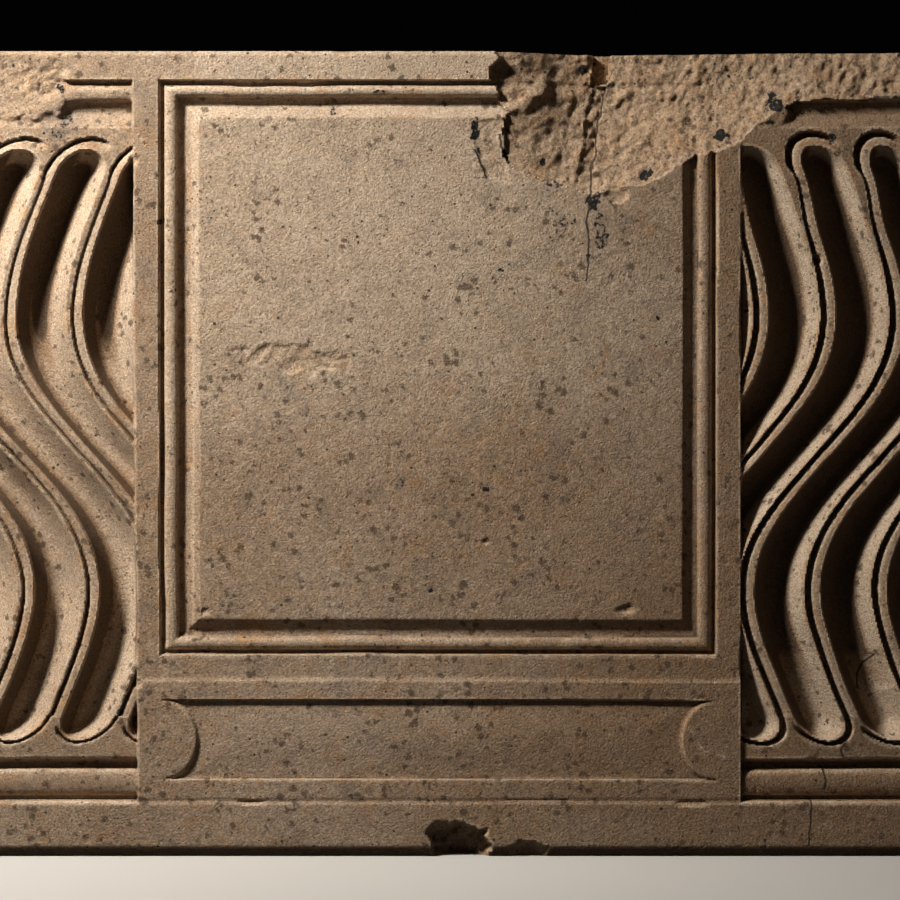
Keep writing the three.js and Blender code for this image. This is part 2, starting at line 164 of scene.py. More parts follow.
def ramp(value, start, end):
    """0 up to start, 1 from end on, and straight between."""
    return np.clip((value - start) / (end - start), 0.0, 1.0)


def ease(value, start, end):
    """As ramp, with soft ends."""
    share = ramp(value, start, end)
    return share * share * (3 - 2 * share)


def least(share, lowest):
    """A share from 0 to 1, raised so that it never falls below lowest."""
    return lowest + (1 - lowest) * share


def hump(value, reach):
    """1 where value is 0, and falling away on both sides."""
    return np.exp(-((value / reach) ** 2))


# Noise on a lattice of random numbers, which repeats after LATTICE cells
LATTICE = 256
# Textures: the cell, the height in millimetres or as a share, the seed, how many sizes, straight slopes
TEXTURES = {
    "front waver": (55.0, 0.45, 20, 2, False),
    "front swell": (120.0, 0.3, 30, 2, False),
    "front grain": (8.0, 0.13, 33, 3, False),
    "pits": (3.4, 1.0, 36, 1, False),
    "strigil waver": (60.0, 0.55, 40, 3, False),
    "break edge": (9.0, 1.6, 60, 3, False),
    "break face": (26.0, 1.5, 61, 2, True),
    "break scales": (8.0, 0.9, 64, 2, True),
    "break crumbs": (4.4, 1.1, 68, 2, True),
    "break grit": (3.0, 0.7, 71, 1, True),
    "cutting edge": (6.0, 0.5, 70, 2, False),
    "flake edge": (7.0, 1.4, 74, 3, False),
    "flake face": (4.4, 0.6, 75, 2, True),
    "chip edge": (7.0, 0.18, 80, 2, False),
    "chip face": (4.4, 0.4, 83, 2, True),
    "erased edge": (8.0, 0.4, 90, 3, False),
    "gouges": (4.4, 1.0, 92, 2, True),
    "gouge grit": (3.0, 0.4, 94, 1, True),
    "corner edge": (12.0, 0.2, 95, 3, False),
    "corner crumbs": (9.0, 1.6, 98, 2, True),
    "corner grit": (3.6, 1.0, 55, 2, True),
    "worn edge": (9.0, 0.15, 96, 2, False),
    "worn face": (6.0, 0.4, 97, 2, False),
    "crack waver": (7.0, 1.1, 100, 3, False),
    "scratch gaps": (3.0, 1.0, 58, 2, False),
    "lichen edge": (4.0, 1.0, 110, 3, False),
    "side lumps": (60.0, 0.8, 120, 3, False),
    "back lumps": (60.0, 0.8, 130, 3, False),
    "hollow lumps": (90.0, 1.2, 140, 3, False),
    "lid swell": (90.0, 0.5, 150, 3, False),
    "lid tooling": (14.0, 1.0, 155, 2, False),
    "cramp dents": (6.0, 0.035, 160, 2, False),
    "lead dents": (7.0, 0.25, 170, 2, False),
}


def noise(x, z, cell, seed, straight):
    """From -1 to 1, with features about one cell wide."""
    table = np.random.default_rng(seed).uniform(-1.0, 1.0, (LATTICE, LATTICE))
    u, v = x / cell, z / cell
    column, row = np.floor(u).astype(int), np.floor(v).astype(int)
    across, along = u - column, v - row
    if not straight:
        across = across * across * (3 - 2 * across)
        along = along * along * (3 - 2 * along)
    column, row = column % LATTICE, row % LATTICE
    beside, above = (column + 1) % LATTICE, (row + 1) % LATTICE
    low = table[column, row] * (1 - across) + table[beside, row] * across
    high = table[column, above] * (1 - across) + table[beside, above] * across
    return low * (1 - along) + high * along


def rough(x, z, texture, reseed=0):
    """A texture's height: noise at several sizes, each half as wide and half as strong as the last."""
    cell, height, seed, sizes, straight = TEXTURES[texture]
    total = np.zeros_like(x)
    for size in range(sizes):
        total += noise(x, z, cell / 2**size, seed + reseed + size, straight) / 2**size
    return total * height


def inside(x, z, outline):
    """True where a point lies inside a closed outline."""
    found = np.zeros(x.shape, bool)
    for (xa, za), (xb, zb) in zip(outline, outline[1:] + outline[:1]):
        if za == zb:
            continue
        crosses = (za > z) != (zb > z)
        found ^= crosses & (x < xa + (xb - xa) * (z - za) / (zb - za))
    return found


def distance(x, z, line):
    """The distance to an open line of points."""
    nearest = np.full(x.shape, np.inf)
    for (xa, za), (xb, zb) in zip(line, line[1:]):
        length = (xb - xa) ** 2 + (zb - za) ** 2
        share = np.clip(((x - xa) * (xb - xa) + (z - za) * (zb - za)) / length, 0.0, 1.0)
        away = np.hypot(x - xa - share * (xb - xa), z - za - share * (zb - za))
        nearest = np.minimum(nearest, away)
    return nearest


def moulding(inset, widths, lowest, inner):
    """A moulding's depth at an inset from its outer edge, and how far across it lies.

    It is a groove, a round, a hollow that goes down to lowest, and a slope that ends at inner."""
    groove, crown, hollow, slope = widths
    crown_end = groove + crown
    hollow_end = crown_end + hollow
    low = ROUND_SETBACK + ROUND_FALL
    depth = BAND_SETBACK + (GROOVE_DEPTH - BAND_SETBACK) * ramp(inset, 0.0, GROOVE_ARRIS)
    over = np.clip((inset - groove) / crown * 2 - 1, -1.0, 1.0)
    depth = np.where(inset > groove, low - ROUND_FALL * np.sqrt(1 - over * over), depth)
    down = np.clip((inset - crown_end) / hollow, 0.0, 1.0)
    sunk = low + (lowest - low) * np.sqrt(1 - (1 - down) ** 2)
    depth = np.where(inset > crown_end, sunk, depth)
    up = ramp(inset, hollow_end, hollow_end + slope)
    depth = np.where(inset > hollow_end, lowest + (inner - lowest) * up, depth)
    return depth, inset / sum(widths)


def framed(sides, inner):
    """Mouldings that meet at mitres. sides holds (inset, widths, hollow's depth) of each side."""
    depth, across = None, None
    for side in sides:
        side_depth, side_across = moulding(*side, inner)
        if depth is None:
            depth, across = side_depth, side_across
        else:
            depth = np.where(side_across < across, side_depth, depth)
            across = np.minimum(across, side_across)
    return depth, across


def sweep(share):
    """How far a strigil's middle has moved sideways at a share of the way down."""
    late = share - SWEEP_LAG_SHARE * np.sin(np.pi * share)
    turn = 2 * np.pi * late
    bend = SWEEP_SHARPENING * np.sin(2 * turn)
    return SWEEP_DRIFT * late - SWEEP_SWING * np.sin(turn) + bend


def channel_depth(across, end, rise):
    """A strigil's hollow: steep on its left, and a ramp on its right up to a sharp edge."""
    beside = across - DEEPEST
    skewed = np.where(beside < 0, -beside / (1 + DEEPEST), beside / (1 - DEEPEST))
    reach = np.minimum(np.hypot(skewed, end), 1.0)
    steepness = STEEPNESS - STEEPNESS_SWING * np.tanh(STEEPNESS_TURN * beside) + HEAD_STEEPNESS * rise
    return STRIGIL_DEPTH * (1 - reach**steepness)


def strigil_depth(x, z, first, side):
    """The depth of the fluted field on one side, side being -1 on the left and 1 on the right."""
    right = (side + 1) // 2
    share = (STRIGIL_TOP - z) / (STRIGIL_TOP - STRIGIL_FOOT)
    offset = x - first + side * sweep(share) + rough(x, z, "strigil waver")
    nearest = np.round(offset / PITCH)
    upper = CHANNEL_TOPS[right] - ROUND_END
    lower = STRIGIL_FOOT + ROUND_END
    above = np.maximum(z - upper, 0.0)
    below = np.maximum(lower - z, 0.0)
    end = above + below
    # Just below an arch the groove is a thin line, and it is cut wide and square further down.
    full = np.maximum(ease(z - upper, *ARCH_GROOVE), ease(upper - z, *GROOVE_OPENS[right]))
    # On the left they are deeper at both ends than where they cross over.
    crossing = hump(share - CROSSING_SHARE, CROSSING_REACH)
    deepening = 1.0 if right else DEEPENING - CROSSING_LOSS * crossing
    groove_share = GROOVE_SHARES[right]
    depth = np.full(x.shape, FIELD_SETBACK)
    narrower = HEAD_NARROWING[right] * ease(z, upper - HEAD_LENGTH, upper)
    for step in (-1, 0, 1):
        number = nearest + step
        aside = offset - number * PITCH - narrower
        # Some strigils were cut a little wider than others.
        half = CHANNEL / 2 * (1 + WIDTH_SHARE * np.sin(number * WIDTH_TURN)) - narrower
        reach = np.hypot(aside / half, end / ROUND_END)
        hollow = deepening * channel_depth(aside / half, end / ROUND_END, above / ROUND_END)
        turn = np.arctan2(above - below, aside)
        scale = np.hypot(half * np.cos(turn), ROUND_END * np.sin(turn))
        outside = (reach - 1) * np.where(end > 0, scale, half)
        # The groove lies beyond the rim on the left and over the arch, and beyond the crest at the foot.
        foot_wide = least(np.cos(turn) ** 2, FOOT_GROOVE_SHARE)
        wide = groove_share * STRIGIL_GROOVE * np.where(below > 0, foot_wide, least(full, THIN_SHARE))
        place = (outside - np.where(below > 0, CREST, RIM)) / wide
        shape = np.clip(GROOVE_WALLS * np.minimum(place, 1 - place), 0.0, 1.0)
        taper_top = ease(turn, *TAPER_TOP) * (above > 0)
        taper_foot = ease(turn, *TAPER_FOOT) * (below > 0)
        along = np.where((aside < 0) & (end <= 0), 1.0, np.maximum(taper_top, taper_foot))
        if right:
            # The first arch on the right has worn away.
            along = np.where((number == 0) & (z > upper - WORN_ARCH), 0.0, along)
        sunk = np.where(below > 0, 1.0, least(full, SHALLOW_SHARE))
        cut = groove_share * GROOVE_CUT * shape * along * sunk
        # The rim leans back towards its groove.
        fall = RIM_FALL * ramp(outside, 0.0, RIM) * along * (outside < RIM + RIM_EDGE) * (below <= 0)
        depth = np.maximum(depth, FIELD_SETBACK + np.maximum(np.maximum(hollow, cut), fall))
    return depth


# The break along the rim, as pixels of the photograph: its left side, then its lower edge
BREAK_SIDE = [
    (493, 30), (494, 51), (499, 56), (494, 64), (489, 71),
    (488, 79), (496, 84), (500, 91), (498, 99), (503, 107),
    (508, 114), (503, 121), (501, 134), (503, 150), (510, 163),
]
BREAK_FOOT = [
    (510, 163), (518, 170), (530, 176), (545, 181),
    (562, 186), (585, 192), (604, 192), (622, 187), (640, 185),
    (655, 179), (672, 169), (690, 157), (708, 154),
    (722, 148), (740, 140), (752, 128), (766, 117), (784, 104),
    (812, 99), (850, 99), (897, 94), (940, 72), (985, 40), (985, 30),
]
# How the broken face runs, in millimetres or as shares
BREAK_DEPTH = 28.0
BREAK_REACH = 40.0
BREAK_ARRIS = 1.2
BREAK_LEAST = 1.5
SIDE_SHARE = 0.2
SIDE_REACH = 60.0
EDGE_SHARE = 0.35
EDGE_REACH = 10.0
# Rows by which the noise for heights is shifted from that for widths
SHIFTED_ROWS = 7
# It is smoother between these columns of the photograph and its left side.
SMOOTH_SHARE = 0.4
SMOOTH_COLUMNS = (545, 595)
# The scales of the break run up to the right.
SCALE_LEAN = 0.8
SCALE_SHARE = 0.6
# What is left of the moulding runs on as a ridge.
RIDGE = [(500, 113), (522, 104), (538, 92), (546, 84)]
RIDGE_HEIGHT = 3.6
RIDGE_WIDTH = 5.0
# Where the panel's band ends, the break is deeper.
BAND_END = (503, 66)
BAND_END_DEPTH = 3.2
BAND_END_REACH = (8.0, 12.0)
BAND_END_EDGE = 2.0
# The stone stands forward to the right of the long crack, between these rows of the photograph.
CRACK_STEP = 4.2
CRACK_STEP_REACH = 8.5
CRACK_STEP_ROWS = (200, 150)
# A thinner flake beside the break
FLAKE_EDGE = [
    (508, 116), (486, 118), (473, 121), (471, 134),
    (477, 152), (487, 178), (512, 186), (508, 160), (500, 134),
]
FLAKE_DEPTH = 0.9
FLAKE_ARRIS = 2.5
CRAMP_CUTTING = [(596, 30), (595, 58), (591, 84), (610, 79), (612, 59), (612, 30)]
CRAMP_CUTTING_DEPTH = 37.0
# How far from a crack its distance is kept
CRACK_ROOM = 9.0
CRACKS = [
    [(609, 83), (605, 96), (600, 119), (597, 146),
     (591, 172), (590, 192), (587, 216), (588, 247), (586, 281)],
    [(823, 768), (826, 779), (824, 790)],
    [(811, 800), (809, 815), (811, 830), (810, 846)],
    [(846, 744), (841, 750), (843, 757)],
    [(862, 690), (861, 676), (866, 664), (878, 655)],
    [(476, 150), (481, 161), (486, 178)],
    [(500, 134), (502, 148), (508, 162)],
]
# Chips: middle and reach in pixels of the photograph, then depth in millimetres
CHIPS = [
    (460, 848, 29, 25, 18.0),
    (441, 832, 14, 11, 5.0),
    (528, 850, 18, 10, 5.0),
    (818, 259, 6, 6, 5.0),
    (617, 195, 13, 9, 2.5),
    (628, 610, 11, 5, 1.7),
    (205, 612, 5, 4, 1.2),
    (132, 160, 5, 6, 2.0),
    (880, 672, 20, 20, 1.4),
    (485, 542, 4, 3, 1.2),
    (345, 51, 12, 4, 2.0),
    (250, 802, 16, 3, 1.4),
    (693, 804, 20, 3, 1.6),
    (137, 684, 5, 5, 2.0),
]
# How round a chip's hollow is, and how far a hollow counts as cut
CHIP_ROUNDNESS = 0.7
CHIP_CUT = 0.5
CHIP_SEEN = (0.2, 1.5)
SCRATCH = [(688, 728), (696, 735), (700, 745), (704, 752), (712, 754), (726, 758)]
SCRATCH_WIDTH = 0.8
SCRATCH_SHARE = 1.8
SCRATCH_GAPS = (-0.6, 0.3)
# Worn places: middle and reach in pixels of the photograph
ERASED = (294.0, 359.0, 50.0, 15.0)
ERASED_DEPTH = 0.9
# The gouges there run across at a slant.
GOUGE_SHARES = (0.7, 0.3)
WORN_CORNER = (20.0, 91.0, 62.0, 37.0)
CORNER_DEPTH = 3.2
CORNER_HOLLOW = 0.9
CORNER_HOLLOW_ROW = 101
CORNER_HOLLOW_REACH = 9.0
CRUMBLED = (42.0, 78.0, 42.0, 26.0)
CRUMB_DEPTH = 0.8
CRUMB_SHARE = 0.2
CRUMB_SEEN_SHARE = 0.25
WORN_END = (764.0, 113.0, 30.0, 15.0)
WORN_END_DEPTH = 0.5
# Edges of such places: the reach at which they end, and over what share they fade
CORNER_FADE = (1.05, 0.35)
CRUMBLED_FADE = (1.0, 0.5)
ERASED_FADE = (1.15, 0.5)
WORN_FADE = (1.05, 0.4)
LICHEN_FADE = (1.05, 0.35)
# How rough each kind of damage looks, and how much of the carving a break leaves
FLAKE_MARK = 0.45
CHIP_MARK = 0.6
ERASED_MARK = 0.6
CORNER_MARK = 0.8
LEFT_BY_BREAK = 0.15
# Thin lichen is the more ragged.
RAGGED = 0.35
RAGGED_THIN = 0.5
# Lichen: middle and reach in pixels of the photograph, and how black it is as a share
LICHEN_SHARES = [
    (584, 65, 6, 7, 0.9), (543, 162, 4, 6, 1.0), (646, 173, 8, 8, 0.8), (723, 134, 8, 6, 1.0),
    (775, 101, 10, 12, 0.8), (770, 122, 7, 3, 0.8), (688, 122, 4, 3, 0.7), (475, 128, 5, 14, 0.9),
    (478, 148, 3, 12, 0.7), (594, 205, 9, 13, 0.75), (600, 228, 8, 24, 0.55), (592, 250, 10, 16, 0.4),
    (552, 186, 9, 7, 0.5), (562, 224, 13, 14, 0.45), (500, 270, 4, 2, 0.6), (478, 267, 3, 2, 0.6),
    (834, 138, 5, 5, 0.9), (747, 66, 12, 12, 0.35), (720, 76, 14, 16, 0.4), (60, 88, 5, 6, 0.7),
    (66, 120, 6, 10, 0.6), (60, 134, 11, 12, 0.5), (30, 62, 16, 9, 0.4), (160, 221, 3, 4, 0.8),
    (332, 110, 3, 5, 0.7), (438, 103, 9, 4, 0.6), (380, 92, 10, 2, 0.6), (118, 712, 5, 4, 0.6),
    (486, 490, 4, 3, 0.9), (473, 495, 2, 2, 0.8), (400, 482, 6, 6, 0.6), (658, 318, 3, 3, 0.9),
    (666, 344, 4, 3, 0.7), (748, 310, 3, 3, 0.8), (861, 250, 3, 3, 0.7), (430, 590, 6, 4, 0.5),
]


def lined(points):
    """Pixels of the photograph as points on the front."""
    return [at(px, py) for px, py in points]


def column_at(px):
    """The x of a column of the photograph."""
    return at(px, 0)[0]


def row_at(py):
    """The z of a row of the photograph."""
    return at(0, py)[1]


def break_depth(x, z):
    """How deep the broken rim lies, and where the stone is broken."""
    side, foot = lined(BREAK_SIDE), lined(BREAK_FOOT)
    wobble = rough(x, z, "break edge")
    bent_x, bent_z = x + wobble, z + np.roll(wobble, SHIFTED_ROWS, axis=0)
    broken = inside(bent_x, bent_z, side + foot)
    from_side, from_foot = distance(bent_x, bent_z, side), distance(bent_x, bent_z, foot)
    away = np.minimum(from_side, from_foot)
    slope = BREAK_DEPTH * (1 - np.exp(-from_foot / BREAK_REACH))
    slope = slope * least(ease(from_side, 0.0, SIDE_REACH), SIDE_SHARE)
    ridge = RIDGE_HEIGHT * hump(distance(bent_x, bent_z, lined(RIDGE)), RIDGE_WIDTH)
    broad = rough(x, z, "break face")
    along, aside = SCALE_SHARE * (x + SCALE_LEAN * z), x - SCALE_LEAN * z
    scales = rough(along, aside, "break scales")
    crumbs = rough(along, aside, "break crumbs") + rough(x, z, "break grit")
    x_step, z_step = at(*BAND_END)
    x_reach, z_reach = BAND_END_REACH
    step = BAND_END_DEPTH * hump(x - x_step, x_reach) * hump(z - z_step, z_reach)
    step = step * ease(from_side, 0.0, BAND_END_EDGE)
    offset = crack_offset(x, z)
    left_of_crack = CRACK_STEP * (offset < 0) * np.exp(offset / CRACK_STEP_REACH)
    left_of_crack = left_of_crack * ease(z, *[row_at(py) for py in CRACK_STEP_ROWS])
    # The face turns away from the light on the left, and is smoother there.
    calm = least(ease(x, *[column_at(px) for px in SMOOTH_COLUMNS]), SMOOTH_SHARE)
    near = least(ease(away, 0.0, EDGE_REACH), EDGE_SHARE)
    uneven = calm * (near * (broad + scales) + crumbs)
    depth = BAND_SETBACK + ease(away, 0.0, BREAK_ARRIS) + slope + step - ridge + uneven
    return np.maximum(depth + left_of_crack, BREAK_LEAST), broken


def spread(x, z, px, py, reach_x, reach_z):
    """The distance from a place of the photograph, as a share of its reach each way."""
    x_middle, z_middle = at(px, py)
    return np.hypot((x - x_middle) / (reach_x * PIXEL), (z - z_middle) / (reach_z * PIXEL))


def faded(away, end, soft):
    """1 within a reach, fading to 0 where away comes to its end."""
    return ease(end - away, 0.0, soft)


def crack_offset(x, z):
    """The distance to the nearest crack, below zero on one side of it, and at most CRACK_ROOM."""
    wavy_x = x + rough(x, z, "crack waver")
    nearest = np.full(x.shape, CRACK_ROOM)
    for line in CRACKS:
        points = lined(line)
        places, heights = np.array(points).T
        order = np.argsort(heights)
        middle = np.interp(z, heights[order], places[order])
        level = (z > heights.min()) & (z < heights.max())
        away = distance(wavy_x, z, points)
        signed = np.where(level & (wavy_x < middle), -away, away)
        nearest = np.where(away < np.abs(nearest), signed, nearest)
    return nearest


def worn_corner(x, z, depth):
    """The upper left, where band and moulding have crumbled into one another."""
    patch = faded(spread(x, z, *WORN_CORNER) + rough(x, z, "corner edge"), *CORNER_FADE)
    hollow = hump(z - row_at(CORNER_HOLLOW_ROW), CORNER_HOLLOW_REACH)
    crumbs = rough(x, z, "corner crumbs") + rough(x, z, "corner grit")
    crumbly = faded(spread(x, z, *CRUMBLED), *CRUMBLED_FADE)
    crumbled = least(crumbly, CRUMB_SHARE) * (crumbs + CRUMB_DEPTH)
    sloped = CORNER_DEPTH + CORNER_HOLLOW * hollow + crumbled
    return depth * (1 - patch) + sloped * patch, patch * least(crumbly, CRUMB_SEEN_SHARE)


def damage(x, z, depth):
    """The depth with the break, the chips and the worn places in it, and where the stone is rough."""
    bent = x + rough(x, z, "flake edge")
    scar = lined(FLAKE_EDGE)
    flake = inside(bent, z, scar) * ease(distance(bent, z, scar), 0.0, FLAKE_ARRIS)
    depth = depth + flake * (FLAKE_DEPTH + rough(x, z, "flake face"))
    broken_depth, broken = break_depth(x, z)
    depth = np.where(broken, depth * LEFT_BY_BREAK + broken_depth, depth)
    uneven = rough(x, z, "cutting edge")
    cutting = inside(x + uneven, z + uneven, lined(CRAMP_CUTTING))
    depth = np.where(cutting, CRAMP_CUTTING_DEPTH + uneven, depth)
    marks = np.maximum(broken.astype(float), FLAKE_MARK * flake)
    for *place, deep in CHIPS:
        away = spread(x, z, *place) + rough(x, z, "chip edge")
        bite = deep * np.clip(1 - away**2, 0.0, 1.0) ** CHIP_ROUNDNESS
        depth = depth + bite + ease(bite, 0.0, CHIP_CUT) * rough(x, z, "chip face")
        marks = np.maximum(marks, CHIP_MARK * ease(bite, *CHIP_SEEN))
    patch = faded(spread(x, z, *ERASED) + rough(x, z, "erased edge"), *ERASED_FADE)
    across, up = GOUGE_SHARES
    gouges = rough(x * across + z * up, z, "gouges") + rough(x, z, "gouge grit")
    depth = depth + patch * (ERASED_DEPTH + gouges)
    marks = np.maximum(marks, ERASED_MARK * patch)
    depth, patch = worn_corner(x, z, depth)
    # Where the moulding begins again beside the break, it is worn flat.
    flat = faded(spread(x, z, *WORN_END) + rough(x, z, "worn edge"), *WORN_FADE) * (1 - broken)
    worn = FIELD_SETBACK + WORN_END_DEPTH + rough(x, z, "worn face")
    depth = depth * (1 - flat) + worn * flat
    return depth, np.maximum(marks, CORNER_MARK * patch)


def lichen(x, z):
    """Where black lichen has grown, from 0 to 1."""
    grown = np.zeros_like(x)
    edge = rough(x, z, "lichen edge")
    for *place, black_share in LICHEN_SHARES:
        away = spread(x, z, *place) + edge * (RAGGED + RAGGED_THIN * (1 - black_share))
        grown = np.maximum(grown, black_share * faded(away, *LICHEN_FADE))
    return grown


# Where the stone is pale or brown, partly its own weathering and partly painted light and shade: between
# which x, z or depths, in millimetres, and how strongly
HOLLOW_FROM = (0.5, 2.5)
RAMP_SLOPES = (0.1, 1.0)
PALE_SHARE = 0.75
PALE_PANEL = (230.0, 400.0)
PALE_ROUND = (8.5, 6.0)
LOW_SHARE = 0.55
LOW = (380.0, 60.0)
LOW_LEFT_SHARE = 0.4
LOW_LEFT = (-50.0, 200.0)
BROWN_SHARE = 0.66
BROWN_FROM = (10.0, 230.0)
BAND_BROWN_SHARE = 0.1
BAND_BROWN_FROM = (150.0, 215.0)
BROWN_MOST = 0.85
BROKEN_CLEAN_SHARE = 0.8
# Painted shade in the bottoms of the channels: the depths beyond which it lies on the left and on the right,
# the heights over which it comes in on each side, and its fade
CHANNEL_SHADE_DEPTHS = (14.0, 10.0)
CHANNEL_SHADE_BETWEEN = ((260.0, 360.0), (100.0, 145.0))
CHANNEL_SHADE_FADE = 3.0
# Painted shade on the foot's bevel, fading out between these heights
SHADED_FOOT = (9.0, 5.0)
DULL_SHARE = 0.5
DULL_FROM = (10.0, 150.0)
DULL_TO = (270.0, 220.0)
MARK_PALE_SHARE = 0.6
# How much the ramps' painted light weakens towards the left end, and between which x
RAMP_LIGHT_FADE_SHARE = 0.5
RAMP_LIGHT_FADE = (-150.0, -300.0)
BROKEN_MARK = 0.9
LIP = (3.2, 1.2)


def patina_and_shade(x, z, depth, marks, crack):
    """How pale the stone is: up to 1 where it is pale, partly bare stone and partly painted light, and down
    to -1 where it is brown, partly weathering and partly painted shade.
    """
    fluted = (np.abs(x) > BLOCK_HALF) & (z > PLINTH + sum(FIELD_FOOT)) & (z < STRIGIL_TOP)
    sunk = depth - FIELD_SETBACK
    hollow = fluted * ease(sunk, *HOLLOW_FROM)
    # A channel's left wall faces away from the light and gets painted shade in brown, and its ramp faces the
    # light and gets painted light in pale.
    falls_right = ease(np.gradient(depth, axis=1) / np.gradient(x, axis=1), *RAMP_SLOPES)
    # Painted shade also darkens the bottom of the channels, where the light never falls.
    left, right = [ease(z, *between) for between in CHANNEL_SHADE_BETWEEN]
    channel_shade_from = np.where(x > 0, CHANNEL_SHADE_DEPTHS[1], CHANNEL_SHADE_DEPTHS[0])
    channel_shade = hollow * np.where(x > 0, right, left) * ease(sunk - channel_shade_from, 0.0, CHANNEL_SHADE_FADE)
    opening = BLOCK_HALF - PANEL_BAND
    on_panel = np.abs(x) < opening - sum(PANEL_RIGHT)
    on_round = (np.abs(x) < opening) & (z > PANEL_BOTTOM) & (z < HEIGHT - TOP_BAND) & ~on_panel
    # Painted light: the panel is paler towards its top, and the moulding round it is paler on its raised
    # parts than in its hollow.
    pale = PALE_SHARE * (on_panel * ease(z, *PALE_PANEL) + on_round * ease(depth, *PALE_ROUND))
    pale = np.maximum(pale, MARK_PALE_SHARE * marks)
    # Browner towards the right and the bottom: partly weathering, and partly painted shade where the light
    # falls off.
    low = LOW_SHARE * ease(z, *LOW) * least(ease(x, *LOW_LEFT), LOW_LEFT_SHARE)
    brown = BROWN_SHARE * ease(x, *BROWN_FROM) + BAND_BROWN_SHARE * ease(x, *BAND_BROWN_FROM) + low
    brown = np.minimum(brown, BROWN_MOST) * (1 - hollow) * (1 - BROKEN_CLEAN_SHARE * marks)
    # Painted shade: the channels' left walls, the bottoms of the channels and the foot's bevel are painted
    # brown.
    for painted_shade in (hollow * falls_right, channel_shade, ease(z, *SHADED_FOOT)):
        brown = np.maximum(brown, painted_shade)
    # The painted light on panel and moulding is weaker towards the right.
    dulled = DULL_SHARE * ease(x, *DULL_FROM) * ease(x, *DULL_TO)
    # The ramps' painted light is weaker towards the left end.
    paleness = hollow * (1 - falls_right) * (1 - channel_shade) * (1 - RAMP_LIGHT_FADE_SHARE * ease(x, *RAMP_LIGHT_FADE))
    # The lip of the broken stone beside a crack is pale.
    lip = (marks > BROKEN_MARK) * (crack > 0) * ease(crack, *LIP)
    paleness = np.maximum(paleness + pale * (1 - dulled), lip)
    gaps = ease(rough(x, z, "scratch gaps"), *SCRATCH_GAPS)
    scratch = SCRATCH_SHARE * hump(distance(x, z, lined(SCRATCH)), SCRATCH_WIDTH) * gaps
    return np.clip(paleness + scratch - brown, -1.0, 1.0)


# The block's lean is felt as far out as this share of its half, and dies away between these x.
LEAN_SHARE = 1.5
LEAN_BETWEEN = (40.0, -40.0)
WAVER_ROWS = 11
BAND_STEP = (-0.4, 1.6)
BASE_STEP = 1.8
# A thin groove runs along the plinth and round each boss of the base.
PLINTH_GROOVE = 1.2
PLINTH_GROOVE_Z = 0.4
PLINTH_GROOVE_REACH = 1.1
BOSS_GROOVE = 1.2
BOSS_GROOVE_REACH = 0.9
BASE_FIELD_RISE = 1.3
BASE_FIELD_REACH = 26.0
BASE_FIELD_EDGE = 1.1
# Where the panel's hollow grows deeper at the foot and on the right
FOOT_DEEPENS = (-140.0, -185.0)
RIGHT_DEEPENS = (440.0, 510.0)
FIELD_EDGE = (-0.6, 0.8)
BEVEL_DEPTH = 5.0
BEVEL_CURVE = 1.3
# The worn arrises of the ends and of the rim: depth, and how far they reach
END_ARRIS = (3.0, 5.0)
RIM_ARRIS = (2.0, 3.0)
SKIN = 0.35
PIT_SIZES = (0.80, 0.97)
PIT_DEPTH = 0.55


